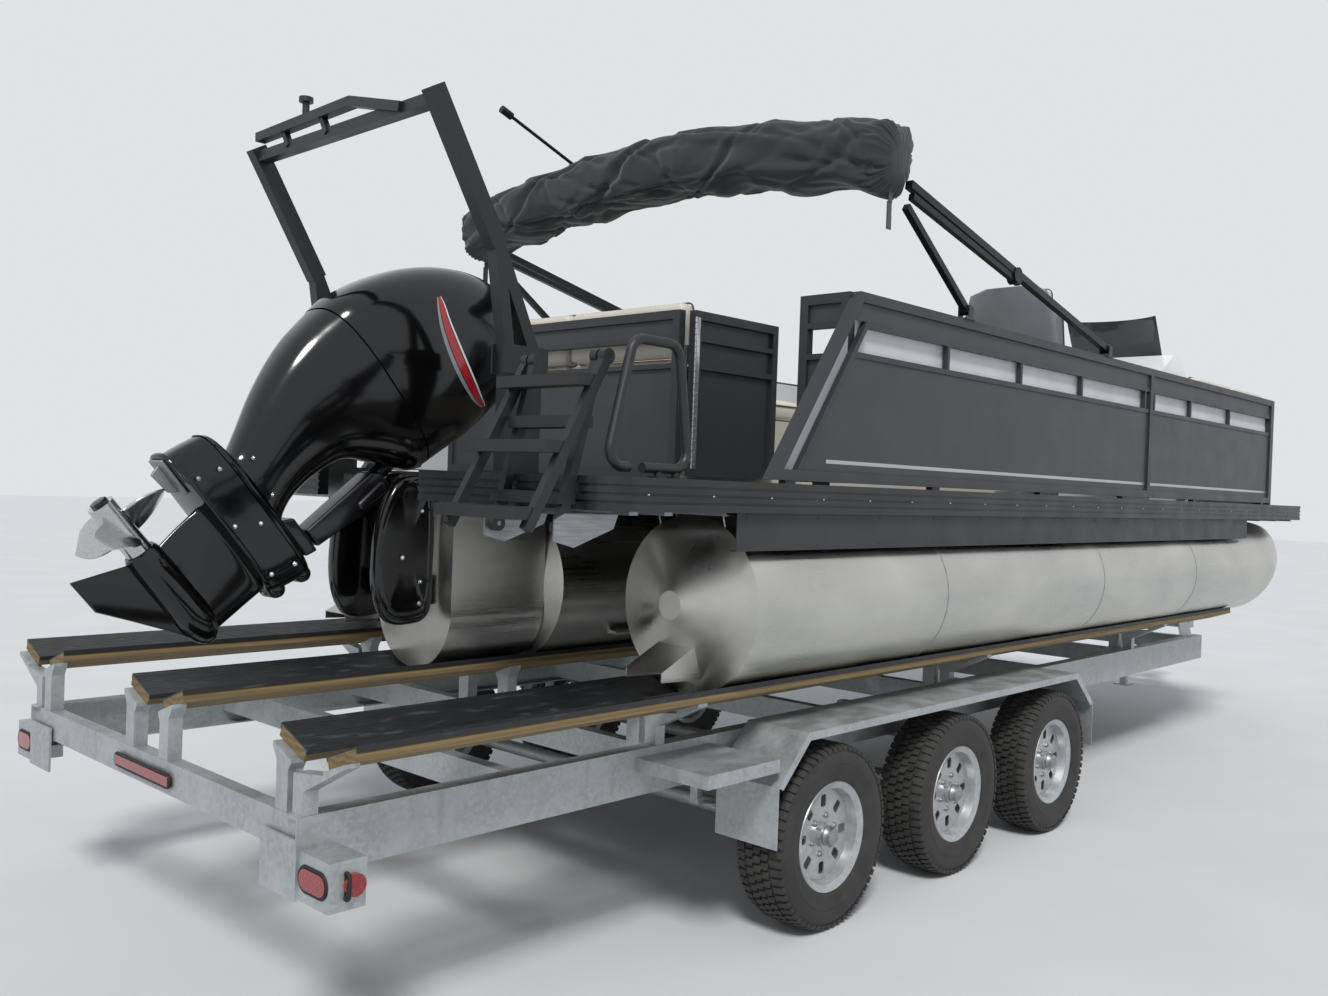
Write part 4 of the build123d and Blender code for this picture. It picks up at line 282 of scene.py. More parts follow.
# %% Treated softwood
FIBRE_MM = 3
tree = new_finish("timber", "treated_softwood")
place = add_node(tree, "ShaderNodeTexCoord")
bent = add_node(tree, "ShaderNodeMapping", {"Vector": place.outputs["Object"], "Scale": (0.8, 12, 12)})
rings = add_node(tree, "ShaderNodeTexWave", {"Vector": bent.outputs[0], "Scale": 1.1, "Distortion": 7.0,
                                             "Detail": 3.0},
                 bands_direction="Z")
fibre = surface_grain(tree, FIBRE_MM, (40, 1, 1), 5)
tint = laid_over(tree, rings.outputs["Fac"], shade("#6F5D3E"), shade("#88734F"), start=0, stop=1)
tint = laid_over(tree, fibre, tint, shade("#5E4D31"), 0.5)
fill_shader(tree, {"Base Color": tint, "Roughness": 0.75}, relief=(fibre, 0.3))
print("made", finish["timber"].name)

# %% [markdown]
# Three finishes are ribbed or woven, and Blender's wave texture draws them. One wave is 0.314 of its units
# long, so at a scale of 159 over a width in mm, each crest and each trough is about that wide. The bunk
# caps are extruded polyethylene with fine lengthwise ribs and a scatter of white scuffs from the tubes.
# Ribs that run along X are a wave across Y. They are really 3 mm apart and are drawn 12 mm apart, so that
# they show.

# %% Ribbed bunk cap
CAP_RIB_MM, CAP_SCUFF_MM = 6, 26


def waves(tree, source, width_mm, directions):
    """Wave patterns across the given axes, whose crests and troughs are each about one width."""
    place = add_node(tree, "ShaderNodeTexCoord").outputs[source]
    scale = 1000 / width_mm / (2 * pi)
    return [add_node(tree, "ShaderNodeTexWave", {"Vector": place, "Scale": scale},
                     bands_direction=way).outputs["Fac"]
            for way in directions]


tree = new_finish("bunk_cap", "ribbed_polyethylene")
ribs = waves(tree, "Object", CAP_RIB_MM, "Y")[0]
scuffs = surface_grain(tree, CAP_SCUFF_MM, (4, 1, 1), 7)
tint = laid_over(tree, scuffs, shade("#1B1C1E"), shade("#55585B"), 0.55, 0.58, 0.75)
fill_shader(tree, {"Base Color": tint}, (scuffs, 0.42, 0.6), (ribs, 0.6))
print("made", finish["bunk_cap"].name)

# %% [markdown]
# The deck wears woven vinyl: flat yarns over and under each other, in two close greys. Two waves at right
# angles, multiplied, give the basket look. The yarns are 4 mm wide and are drawn 8 mm wide.

# %% Woven vinyl deck
YARN_MM, MOTTLE_MM = 8, 30
tree = new_finish("deck_weave", "woven_vinyl")
warp, weft = waves(tree, "Object", YARN_MM, "XY")
basket = add_node(tree, "ShaderNodeMath", {0: warp, 1: weft}, operation="MULTIPLY").outputs[0]
mottle = surface_grain(tree, MOTTLE_MM, detail=5)
tint = laid_over(tree, basket, shade("#55504A"), shade("#8A847B"), start=0, stop=1)
tint = laid_over(tree, mottle, tint, shade("#6B665E"), 0.4)
fill_shader(tree, {"Base Color": tint, "Roughness": 0.7}, relief=(basket, 0.5))
print("made", finish["deck_weave"].name)

# %% [markdown]
# The red lenses have fine prisms inside, drawn as cells under a clear coat. The windscreen passes light, so
# it uses transmission, and a faint haze keeps its grey from being even.

# %% Lenses and smoked acrylic
PRISM_MM, HAZE_MM = 7, 90
tree = new_finish("red_lens", "red_moulded_lens")
place = add_node(tree, "ShaderNodeTexCoord")
prisms = add_node(tree, "ShaderNodeTexVoronoi", {"Vector": place.outputs["Object"], "Scale": 1000 / PRISM_MM})
tint = laid_over(tree, prisms.outputs["Distance"], shade("#5E0C0C"), shade("#A51616"), start=0, stop=1)
fill_shader(tree, {"Base Color": tint, "Roughness": 0.12, "Coat Weight": 0.8},
            relief=(prisms.outputs["Distance"], 0.6))
tree = new_finish("smoked", "smoked_acrylic")
tint = laid_over(tree, surface_grain(tree, HAZE_MM, detail=3), shade("#3A3E42"), shade("#4A4E52"), start=0,
                 stop=1)
fill_shader(tree, {"Base Color": tint, "Transmission Weight": 0.75, "Roughness": 0.03, "IOR": 1.49})
print("made the lenses")

# %% [markdown]
# Tyre rubber is never black: bloom and road dust make it a warm dark grey, and duller where the dust lies
# thick.

# %% Tyre rubber
DUST_MM, PORE_MM = 60, 2.5
tree = new_finish("rubber", "weathered_tyre_rubber")
dust = surface_grain(tree, DUST_MM, detail=7)
pores = surface_grain(tree, PORE_MM, detail=3)
tint = laid_over(tree, dust, shade("#232221"), shade("#3F3D3A"), 0.8)
fill_shader(tree, {"Base Color": tint}, (dust, 0.62, 0.85), (pores, 0.15))
print("made", finish["rubber"].name)

# %% [markdown]
# Soft goods: the canopy cover is woven acrylic canvas, and the seats are marine vinyl with a leather-like
# grain. Canvas shows its yarns along the piece's own UV map, so that they turn with the folds. They are 1
# mm wide and are drawn 5 mm wide. Sheen gives the soft edge that cloth has.

# %% Canvas and marine vinyl
CANVAS_YARN_MM, FADE_MM, PEBBLE_MM, SOIL_MM = 5, 240, 4, 200
tree = new_finish("canvas", "woven_acrylic_canvas")
warp, weft = waves(tree, "UV", CANVAS_YARN_MM, "XY")
weave = add_node(tree, "ShaderNodeMath", {0: warp, 1: weft}, operation="MULTIPLY").outputs[0]
fade = surface_grain(tree, FADE_MM, detail=5)
tint = laid_over(tree, fade, shade("#1E2024"), shade("#2A2C31"))
tint = laid_over(tree, weave, tint, shade("#111214"), 0.25, 0, 1)
fill_shader(tree, {"Base Color": tint, "Roughness": 0.82, "Sheen Weight": 0.25}, relief=(weave, 0.35))
for key, name, colour, second in (("vinyl_cream", "cream_marine_vinyl", "#CFC8BA", "#DAD4C8"),
                                  ("vinyl_grey", "grey_marine_vinyl", "#6C6E72", "#7A7C80"),
                                  ("piping", "dark_vinyl_piping", "#3A3B3E", "#47484B")):
    tree = new_finish(key, name)
    place = add_node(tree, "ShaderNodeTexCoord")
    pebbles = add_node(tree, "ShaderNodeTexVoronoi", {"Vector": place.outputs["Object"],
                                                      "Scale": 1000 / PEBBLE_MM})
    soil = surface_grain(tree, SOIL_MM, detail=5)
    tint = laid_over(tree, soil, shade(colour), shade(second))
    fill_shader(tree, {"Base Color": tint, "Roughness": 0.46, "Sheen Weight": 0.08},
                relief=(pebbles.outputs["Distance"], 0.15))
print(len(finish), "finishes in all")

# %% [markdown]
# Each node of the frame gets its finish, and its shape stays as the CAD made it. Later cells replace some
# nodes.

# %% Finishes on the frame's nodes
NODE_FINISHES = {
    "tube_metal": ["port_tube", "centre_tube", "starboard_tube"],
    "mill": ["deck_beams", "ladder_brackets"],
    "deck_weave": ["deck"],
    "rail_black": ["rub_rail"],
    "skirt_paint": ["side_skirts"],
    "frame_paint": ["port_fence", "starboard_fence", "transom_fence", "bow_fence", "after_gate", "bow_gate"],
    "panel_paint": ["fence_panels"],
    "liner_paint": ["fence_liners"],
    "base_mould": ["lounge_bases"],
    "gel_coat": ["helm_console"],
    "smoked": ["windscreen"],
    "soft_grip": ["helm_wheel"],
    "satin_post": ["chair_pedestal"],
    "canopy_tube": ["canopy_frame", "canopy_braces"],
    "powder_black": ["tow_arch", "grab_hoop", "ladder_inner", "ladder_outer"],
    "motor_satin": ["clamp_brackets", "swivel_bracket"],
    "motor_gloss": ["motor_leg", "motor_cowl"],
    "bright_steel": ["propeller"],
    "galvanised": ["trailer_frame", "coupler", "jack_tube", "jack_leg", "winch_post", "bunk_uprights",
                   "axles",
                   "springs", "fenders", "light_boxes"],
    "timber": ["bunk_boards"],
    "bunk_cap": ["bunk_caps"],
    "red_lens": ["lamps"],
    "rim_silver": [name for name in nodes if "_rim_" in name],
    "rubber": [name for name in nodes if "_tyre_" in name],
    "vinyl_cream": ["lounge_cushions", "helm_chair"],
    "canvas": ["canopy_boot"],
}
for key, names in NODE_FINISHES.items():
    for name in names:
        nodes[name].data.materials.clear()
        nodes[name].data.materials.append(finish[key])
print("finishes on", sum(len(names) for names in NODE_FINISHES.values()), "of", len(nodes), "nodes")

# %% [markdown]
# A few helpers build the added pieces. A mesh is made in place, gets its finish and its slot, and is set on
# its body. Cords and turned shapes are skins over rings of points, so that their ends are closed and their
# faces look out.

# %% Helpers for added pieces
CORD_SIDES, COPY_SMOOTH_ANGLE = 8, 40


def new_piece(name, mesh, key, body, smooth_angle):
    """A finished piece on its body, its mesh already in place. Edges sharper than the angle stay hard."""
    piece = scene_object(name, mesh)
    mesh.materials.clear()
    mesh.materials.append(finish[key])
    mesh.polygons.foreach_set("use_smooth", [True] * len(mesh.polygons))
    mesh.set_sharp_from_angle(angle=radians(smooth_angle))
    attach(piece, body)
    return piece


def mesh_from(bm, name):
    """A mesh from a bmesh, with its faces turned outward."""
    bmesh.ops.remove_doubles(bm, verts=bm.verts, dist=1e-6)
    bmesh.ops.recalc_face_normals(bm, faces=bm.faces)
    mesh = bpy.data.meshes.new(name)
    bm.to_mesh(mesh)
    bm.free()
    return mesh


def shaped_piece(name, bm, key, body, smooth_angle):
    """A finished piece from a bmesh."""
    return new_piece(name, mesh_from(bm, name), key, body, smooth_angle)


def skin_rings(bm, rings, closed=False):
    """Quads between successive rings of points, with flat caps on open ends."""
    rows = [[bm.verts.new(p) for p in ring] for ring in rings]
    count = len(rows[0])
    pairs = list(zip(rows, rows[1:])) + ([(rows[-1], rows[0])] if closed else [])
    for low, high in pairs:
        for i in range(count):
            bm.faces.new((low[i], low[(i + 1) % count], high[(i + 1) % count], high[i]))
    if not closed:
        bm.faces.new(rows[0])
        bm.faces.new(rows[-1])
    return rows


def frames_round(points):
    """Two cross directions at each point of a closed path, kept from twisting."""
    frames, side = [], None
    for before, after in zip(points[-1:] + points, points[1:] + points[:1]):
        along = (after - before).normalized()
        if side is None:
            side = along.orthogonal().normalized()
        side = (side - along * side.dot(along)).normalized()
        frames.append((side, along.cross(side)))
    return frames


def round_ring(centre, u, v, radius, sides):
    """Points on a circle spanned by two directions."""
    turns = [2 * pi * k / sides for k in range(sides)]
    return [centre + (u * cos(t) + v * sin(t)) * radius for t in turns]


def cord_loop(bm, points, radius):
    """A round cord along a closed path."""
    points = [Vector(p) for p in points]
    skin_rings(bm, [round_ring(p, u, v, radius, CORD_SIDES) for p,
                    (u, v) in zip(points, frames_round(points))], True)


def slab_mesh(bm, low, high, bevel):
    """A block between two corners with rounded edges."""
    low, high = Vector(low), Vector(high)
    made = bmesh.ops.create_cube(bm, size=1.0)["verts"]
    size, middle = high - low, (high + low) / 2
    for vert in made:
        vert.co = Vector(c * s for c, s in zip(vert.co, size)) + middle
    edges = {edge for vert in made for edge in vert.link_edges}
    bevel = min(bevel, 0.45 * min(size))
    bmesh.ops.bevel(bm, geom=list(edges), offset=bevel, segments=2, affect="EDGES", profile=0.7)


def lathe_mesh(bm, profile, centre, axis, sides, closed=False):
    """A shape turned about an axis from rows of (distance along the axis, radius)."""
    axis = Vector(axis).normalized()
    u = axis.orthogonal().normalized()
    v = axis.cross(u)
    rings = [round_ring(Vector(centre) + axis * along, u, v, radius, sides) for along, radius in profile]
    skin_rings(bm, rings, closed)


def surface_of(mesh):
    """A tree of a mesh's faces, to drop points onto them."""
    return BVHTree.FromPolygons([v.co for v in mesh.vertices], [p.vertices for p in mesh.polygons])


def rounded_loop(half_x, half_y, corner, step):
    """Points round a rectangle with rounded corners, one every few degrees of each corner."""
    path = []
    for cx, cy, start in ((1, 1, 0), (-1, 1, 90), (-1, -1, 180), (1, -1, 270)):
        for turn in range(start, start + 91, step):
            t = radians(turn)
            path.append((cx * (half_x - corner) + corner * cos(t), cy * (half_y - corner) + corner * sin(t)))
    return path


print("piece helpers ready")

# %% [markdown]
# Screws, nuts, rivets and tread lugs repeat by the hundred. Geometry Nodes place them: one small template
# mesh is put on every point of a mesh whose "aim" says which way each one looks. The tree ends in Realize
# Instances and Set Material, and the result is turned into a plain mesh, because an instance doesn't
# survive the export.

# %% A Geometry Nodes tree that puts one template on every point


def placing_tree():
    """The tree: points with an aim in, realised copies of the template out."""
    tree = bpy.data.node_groups.new("place_on_points", "GeometryNodeTree")
    face = tree.interface
    for title, kind in (("Points", "Geometry"), ("Template", "Object"), ("Size", "Float"),
                        ("Finish", "Material")):
        face.new_socket(title, in_out="INPUT", socket_type="NodeSocket" + kind)
    face.new_socket("Copies", in_out="OUTPUT", socket_type="NodeSocketGeometry")
    given = add_node(tree, "NodeGroupInput").outputs
    template = add_node(tree, "GeometryNodeObjectInfo", {"Object": given["Template"]})
    aim = add_node(tree, "GeometryNodeInputNamedAttribute", {"Name": "aim"}, data_type="FLOAT_VECTOR")
    along = add_node(tree, "GeometryNodeInputNamedAttribute", {"Name": "along"}, data_type="FLOAT_VECTOR")
    first = add_node(tree, "FunctionNodeAlignRotationToVector", {"Vector": aim.outputs[0]}, axis="Z")
    turned = add_node(tree, "FunctionNodeAlignRotationToVector",
                      {"Rotation": first.outputs[0], "Vector": along.outputs[0]}, axis="X", pivot_axis="Z")
    copies = add_node(tree, "GeometryNodeInstanceOnPoints",
                      {"Points": given["Points"], "Instance": template.outputs["Geometry"],
                       "Rotation": turned.outputs[0], "Scale": given["Size"]})
    solid = add_node(tree, "GeometryNodeRealizeInstances", {"Geometry": copies.outputs[0]})
    painted = add_node(tree, "GeometryNodeSetMaterial", {"Geometry": solid.outputs[0],
                                                         "Material": given["Finish"]})
    add_node(tree, "NodeGroupOutput", {"Copies": painted.outputs[0]})
    return tree


PLACE_ON_POINTS = placing_tree()


def place_copies(name, places, template, key, body, size=1.0):
    """Copies of a template at (point, aim, along) places, as one plain mesh on one body."""
    cloud = bpy.data.meshes.new(name + "_points")
    cloud.from_pydata([tuple(p[0]) for p in places], [], [])
    for index, title in ((1, "aim"), (2, "along")):
        layer = cloud.attributes.new(title, "FLOAT_VECTOR", "POINT")
        layer.data.foreach_set("vector", [c for p in places for c in p[index]])
    carrier = scene_object(name + "_carrier", cloud)
    modifier = carrier.modifiers.new("copies", "NODES")
    modifier.node_group = PLACE_ON_POINTS
    sockets = {item.name: item.identifier for item in PLACE_ON_POINTS.interface.items_tree}
    for title, value in (("Template", template), ("Size", size), ("Finish", finish[key])):
        modifier[sockets[title]] = value
    depsgraph = bpy.context.evaluated_depsgraph_get()
    depsgraph.update()
    mesh = bpy.data.meshes.new_from_object(carrier.evaluated_get(depsgraph), depsgraph=depsgraph)
    bpy.data.objects.remove(carrier)
    print(name, len(places), "copies", len(mesh.polygons), "faces")
    return new_piece(name, mesh, key, body, COPY_SMOOTH_ANGLE)


def template_object(name, build):
    """A template mesh at the origin, looking along +Z; it is deleted once its copies are made."""
    bm = bmesh.new()
    build(bm)
    return scene_object(name, mesh_from(bm, name))


def screw_head(bm):
    """A low domed head."""
    rows = [(-0.001, 0.0052), (0.0004, 0.0056), (0.0018, 0.0046), (0.0027, 0.0024)]
    lathe_mesh(bm, rows, ORIGIN, Z_AXIS, 10)


def hex_nut(bm):
    """A six-sided nut with the end of its bolt."""
    rows = [(-0.002, 0.0110), (0.0, 0.0115), (0.0075, 0.0115), (0.0090, 0.0100)]
    lathe_mesh(bm, rows, ORIGIN, Z_AXIS, 6)
    lathe_mesh(bm, [(0.008, 0.0062), (0.014, 0.0060), (0.0152, 0.0048)], ORIGIN, Z_AXIS, 12)


SCREW, NUT = template_object("screw_template", screw_head), template_object("nut_template", hex_nut)
print("templates ready")

# %% [markdown]
# The rub rail is held by screws in its middle groove, about 300 mm apart, and the skirts by two rows of
# rivets. The places come from the nodes' own boxes, so they stay on the metal if the boat's length changes.

# %% Screws of the rail and the skirts
SCREW_PITCH, RIVET_PITCH = 0.30, 0.40
SCREW_SINK, RAIL_END_GAP, BOW_ROW_HALF, SKIRT_END_GAP = 0.005, 0.16, 1.1, 0.05


def row_of(start, end, pitch, aim, along):
    """Evenly spaced places from start to end."""
    start, end = Vector(start), Vector(end)
    count = max(2, round((end - start).length / pitch) + 1)
    return [(start.lerp(end, i / (count - 1)), aim, along) for i in range(count)]


rail_low, rail_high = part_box("rub_rail")
rail_z, rail_y, bow_x = (rail_low.z + rail_high.z) / 2, rail_high.y - SCREW_SINK, rail_high.x - SCREW_SINK
places = []
for side in (-1, 1):
    places += row_of((rail_low.x + RAIL_END_GAP, side * rail_y, rail_z),
                     (rail_high.x - RAIL_END_GAP, side * rail_y, rail_z), SCREW_PITCH, (0, side, 0), X_AXIS)
places += row_of((bow_x, -BOW_ROW_HALF, rail_z), (bow_x, BOW_ROW_HALF, rail_z), SCREW_PITCH, X_AXIS, Y_AXIS)
place_copies("rail_screws", places, SCREW, "bright_steel", ROOT)
skirt_low, skirt_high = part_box("side_skirts")
aft, fore = skirt_low.x + SKIRT_END_GAP, skirt_high.x - SKIRT_END_GAP
places = []
for side in (-1, 1):
    for z in (skirt_low.z + 0.02, skirt_high.z - 0.015):
        places += row_of((aft, side * skirt_high.y, z), (fore, side * skirt_high.y, z), RIVET_PITCH,
                         (0, side, 0), X_AXIS)
place_copies("skirt_rivets", places, SCREW, "skirt_paint", ROOT, size=0.8)

# %% [markdown]
# The tubes are rolled from sheets, and the welds that join the sheets show as thin raised rings against the
# brushed skin. A flat bead on the outside of the tube, one ring per joint, is enough.

# %% Weld seams round the tubes
WELD_STATIONS = (0.22, 0.50, 0.74)
WELD_HALF_WIDTH, WELD_HEIGHT = 0.005, 0.0016
TUBE_STERN, TUBE_NOSE = 0.22, 0.76
tube_low, tube_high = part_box("starboard_tube")
tube_radius = (tube_high.y - tube_low.y) / 2
tube_centre_z = tube_low.z + tube_radius
barrel_aft, barrel_fore = tube_low.x + TUBE_STERN, tube_high.x - TUBE_NOSE
bm = bmesh.new()
for lane in ("port_tube", "centre_tube", "starboard_tube"):
    low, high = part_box(lane)
    y = (low.y + high.y) / 2
    for share in WELD_STATIONS:
        x = barrel_aft + (barrel_fore - barrel_aft) * share
        rows = [(-WELD_HALF_WIDTH, tube_radius - 0.0005), (-WELD_HALF_WIDTH * 0.5, tube_radius + WELD_HEIGHT),
                (WELD_HALF_WIDTH * 0.5, tube_radius + WELD_HEIGHT), (WELD_HALF_WIDTH, tube_radius - 0.0005),
                (0, tube_radius - 0.002)]
        lathe_mesh(bm, rows, (x, y, tube_centre_z), X_AXIS, 96, closed=True)
shaped_piece("tube_welds", bm, "mill", ROOT, 60)
print("weld rings", 3 * len(WELD_STATIONS))

# %% [markdown]
# The outboard's enamel skin flows from its crown down to the neck above the plate, in an upper and a lower
# cowl with a dark seam between them. They could be carved from a subdivided box, but sections stacked up
# the motor's own axis are easier to read and to correct. Each row is one section: how high it is, where its
# back and front are, its half width, and how square it is. A smooth curve through the rows gives as many
# sections as the gloss needs. The motor's own frame has its zero in the tilt tube, forward and up as when
# the motor hangs down, and is turned up by the tilt at which it is stored.

# %% Motor frame and sections
STORED_TILT = radians(50)
tilt_place = Vector(joint_by_name["motor_tilt"]["pos_m"])
MOTOR_FORE = Vector((cos(STORED_TILT), 0, -sin(STORED_TILT)))
MOTOR_UP = Vector((sin(STORED_TILT), 0, cos(STORED_TILT)))


def motor_place(fore, side, up):
    """A place on the motor, in millimetres of its own frame, as a point of the boat's frame."""
    return tilt_place + (MOTOR_FORE * fore + MOTOR_UP * up + Vector((0, side, 0))) / 1000


def smooth_rows(rows, steps, closed=False):
    """More rows on a smooth curve through the given ones, and back to the first if it is closed."""
    padded = rows[-1:] + rows + rows[:2] if closed else rows[:1] + rows + rows[-1:]
    out = []
    for a, b, c, d in zip(padded, padded[1:], padded[2:], padded[3:]):
        for i in range(steps):
            t = i / steps
            out.append([0.5 * (2 * q + (r - p) * t + (2 * p - 5 * q + 4 * r - s) * t * t
                               + (3 * q - p - 3 * r + s) * t ** 3) for p, q, r, s in zip(a, b, c, d)])
    return out if closed else out + [list(rows[-1])]


def power(value, exponent):
    """A power that keeps the sign."""
    return (abs(value) ** exponent) * (1 if value >= 0 else -1)


def motor_section(up, back, front, half, square, sides):
    """One closed section across the motor, from round (2) to square (6)."""
    middle, reach = (back + front) / 2, (front - back) / 2
    turns = [2 * pi * k / sides for k in range(sides)]
    return [motor_place(middle + reach * power(cos(t), 2 / square), half * power(sin(t), 2 / square), up)
            for t in turns]


def motor_form(bm, rows, steps, sides):
    """A closed form through sections up the motor."""
    skin_rings(bm, [motor_section(*row, sides) for row in smooth_rows(rows, steps)])


COWL_ROWS = [(128, -686, 8, 190, 2.7), (200, -690, 14, 206, 2.7), (330, -672, 26, 224, 2.7),
             (470, -632, 24, 226, 2.6), (590, -575, 8, 214, 2.5), (690, -505, -30, 188, 2.4),
             (765, -430, -85, 146, 2.3), (806, -362, -160, 88, 2.2), (817, -300, -215, 36, 2.0),
             (819, -270, -248, 8, 2.0)]
CHAPS_ROWS = [(122, -683, 8, 188, 2.7), (60, -676, -10, 176, 2.7), (-30, -662, -120, 158, 2.6),
              (-130, -632, -210, 138, 2.5), (-250, -582, -232, 118, 2.4), (-360, -522, -226, 102, 2.4),
              (-430, -486, -200, 94, 2.5), (-466, -480, -170, 92, 2.7)]
COWL_SIDES = 72
SEAM_ROWS = [(120, -678, 3, 182, 2.7), (130, -678, 3, 182, 2.7)]
for name, rows, steps in (("cowl_shell", COWL_ROWS, 7), ("lower_cowl", CHAPS_ROWS, 7),
                          ("cowl_seam", SEAM_ROWS, 1)):
    bm, key = bmesh.new(), "motor_satin" if name == "cowl_seam" else "motor_gloss"
    motor_form(bm, rows, steps, COWL_SIDES)
    piece = shaped_piece(name, bm, key, "motor", 50)
    if name == "cowl_shell":
        cowl_shell = piece
        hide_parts("motor_cowl")
print("cowl", len(cowl_shell.data.polygons), "faces")

# %% [markdown]
# Below the cowl come the broad housing with its collar, the flat plate over the propeller, the strut and
# the bullet with its skeg, and in front of them the steering tube and its arms. They are castings bolted
# together, so they are separate forms here, with gaps of a millimetre or two where one meets the next.

# %% Lower unit


def motor_plate(bm, points, half, bevel):
    """A plate in the motor's side view, with its edges eased."""
    rings = [[motor_place(fore, side, up) for fore, up in points] for side in (-half, half)]
    rows = skin_rings(bm, rings)
    edges = {edge for row in rows for vert in row for edge in vert.link_edges}
    bmesh.ops.bevel(bm, geom=list(edges), offset=bevel / 1000, segments=3, affect="EDGES", profile=0.6)


lower = bmesh.new()
forms = [
    [(-462, -520, -60, 80, 3.2), (-474, -572, 8, 88, 3.4), (-492, -590, 22, 90, 3.6)],
    [(-494, -586, 18, 86, 3.6), (-545, -596, 8, 84, 3.6), (-600, -604, -8, 84, 3.6),
     (-622, -608, -16, 84, 3.6)],
    [(-624, -612, -24, 96, 3.0), (-627, -620, -30, 110, 3.0), (-640, -620, -36, 112, 3.0),
     (-643, -612, -44, 104, 3.0)],
    [(-641, -404, -34, 42, 2.2), (-660, -400, -36, 35, 2.0), (-740, -394, -38, 30, 1.9),
     (-820, -384, -40, 33, 1.9), (-862, -376, -42, 44, 2.0)],
]
for rows in forms:
    motor_form(lower, rows, 5, 64)
CASE_UP, CASE_TAIL, NOSE_START, CASE_NOSE, CASE_RADIUS = -868, -411, -150, -18, 62
nose = [(fore, CASE_RADIUS * sqrt(max(0.0, 1 - ((fore - NOSE_START) / (CASE_NOSE - NOSE_START)) ** 2)) + 0.8)
        for fore in range(NOSE_START, CASE_NOSE + 1, 12)]
tail = [(CASE_TAIL, 50), (CASE_TAIL + 12, 57), (-330, 61), (-240, 62)]
case_middle = motor_place(0, 0, CASE_UP)
lathe_mesh(lower, [(fore / 1000, radius / 1000) for fore, radius in tail + nose], case_middle, MOTOR_FORE, 48)
motor_plate(lower, [(-50, CASE_UP - 44), (-120, CASE_UP - 66), (-350, -1086), (-472, -1086),
                    (-392, CASE_UP - 36)], 7, 5)
lathe_mesh(lower, [(-0.412, 0.014), (-0.614, 0.014), (-0.618, 0.011)], case_middle, MOTOR_FORE, 24)
lathe_mesh(lower, [(-0.601, 0.024), (-0.6015, 0.027), (-0.616, 0.027), (-0.617, 0.022)], case_middle,
           MOTOR_FORE, 6)
cushion = [(-0.050, 0.018), (-0.044, 0.027), (-0.030, 0.031), (0.030, 0.031), (0.044, 0.027), (0.050, 0.018)]
for up, reach in ((-500, 8), (-606, -14)):
    lathe_mesh(lower, cushion, motor_place(reach, 0, up), Y_AXIS, 28)
leg_skin = shaped_piece("lower_unit", lower, "motor_gloss", "motor", 42)
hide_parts("motor_leg")

bm = bmesh.new()
lathe_mesh(bm, [(-0.43, 0.0298), (0.07, 0.0298)], motor_place(-70, 0, 0), MOTOR_UP, 32)
motor_plate(bm, [(-30, 44), (-150, 40), (-240, 80), (-240, 118), (-60, 118), (10, 108)], 72, 14)
motor_plate(bm, [(-28, -414), (-176, -414), (-200, -462), (-40, -462)], 62, 10)
shaped_piece("steering_yoke", bm, "motor_satin", "motor", 40)

bm = bmesh.new()
motor_plate(bm, [(-470, -644), (-606, -644), (-606, -655), (-470, -655)], 46, 3)
motor_plate(bm, [(-480, -653), (-590, -653), (-578, -690), (-500, -682)], 7, 3)
shaped_piece("anode_plate", bm, "anode_grey", "motor", 40)

places = []
for side in (-1, 1):
    for half, row in ((83.5, ((-480, -530), (-250, -530), (-60, -520), (-500, -606), (-300, -606),
                              (-90, -606))),
                      (92, ((-440, -420), (-300, -440)))):
        places += [(motor_place(fore, side * half, up), Vector((0, side, 0)), MOTOR_FORE) for fore, up in row]
place_copies("motor_bolts", places, NUT, "bright_steel", "motor", size=0.75)
print("lower unit", len(leg_skin.data.polygons), "faces")

# %% [markdown]
# A plain swoosh of red between white and grey lines runs down each side of the cowl. It is a thin vinyl
# decal, so its points are a narrow grid that is dropped sideways onto the enamel and lifted by 0.6 mm.

# %% Side stripes of the cowl
DECAL_LIFT, DECAL_GRAIN_MM = 0.0006, 25
STRIPE_LINE = [(-500, 470), (-420, 425), (-320, 398), (-210, 384), (-110, 388), (-50, 410)]
STRIPE_WIDENING, STRIPE_SLANT, OUTSIDE = 1.3, 0.35, 400
STRIPES = (("stripe_grey", -26, -14), ("stripe_red", -11, 14), ("stripe_white", 17, 23))
for key, name, colour, second in (("stripe_red", "red_cast_vinyl_decal", "#9E1220", "#B01A28"),
                                  ("stripe_white", "white_cast_vinyl_decal", "#E4E4E2", "#ECECEA"),
                                  ("stripe_grey", "grey_cast_vinyl_decal", "#7F8285", "#8C8F92")):
    tree = new_finish(key, name)
    cloud = surface_grain(tree, DECAL_GRAIN_MM)
    tint = laid_over(tree, cloud, shade(colour), shade(second), start=0, stop=1)
    fill_shader(tree, {"Base Color": tint, "Roughness": 0.14, "Coat Weight": 0.6}, relief=(cloud, 0.01))
cowl_tree = surface_of(cowl_shell.data)
line = smooth_rows(STRIPE_LINE, 10)
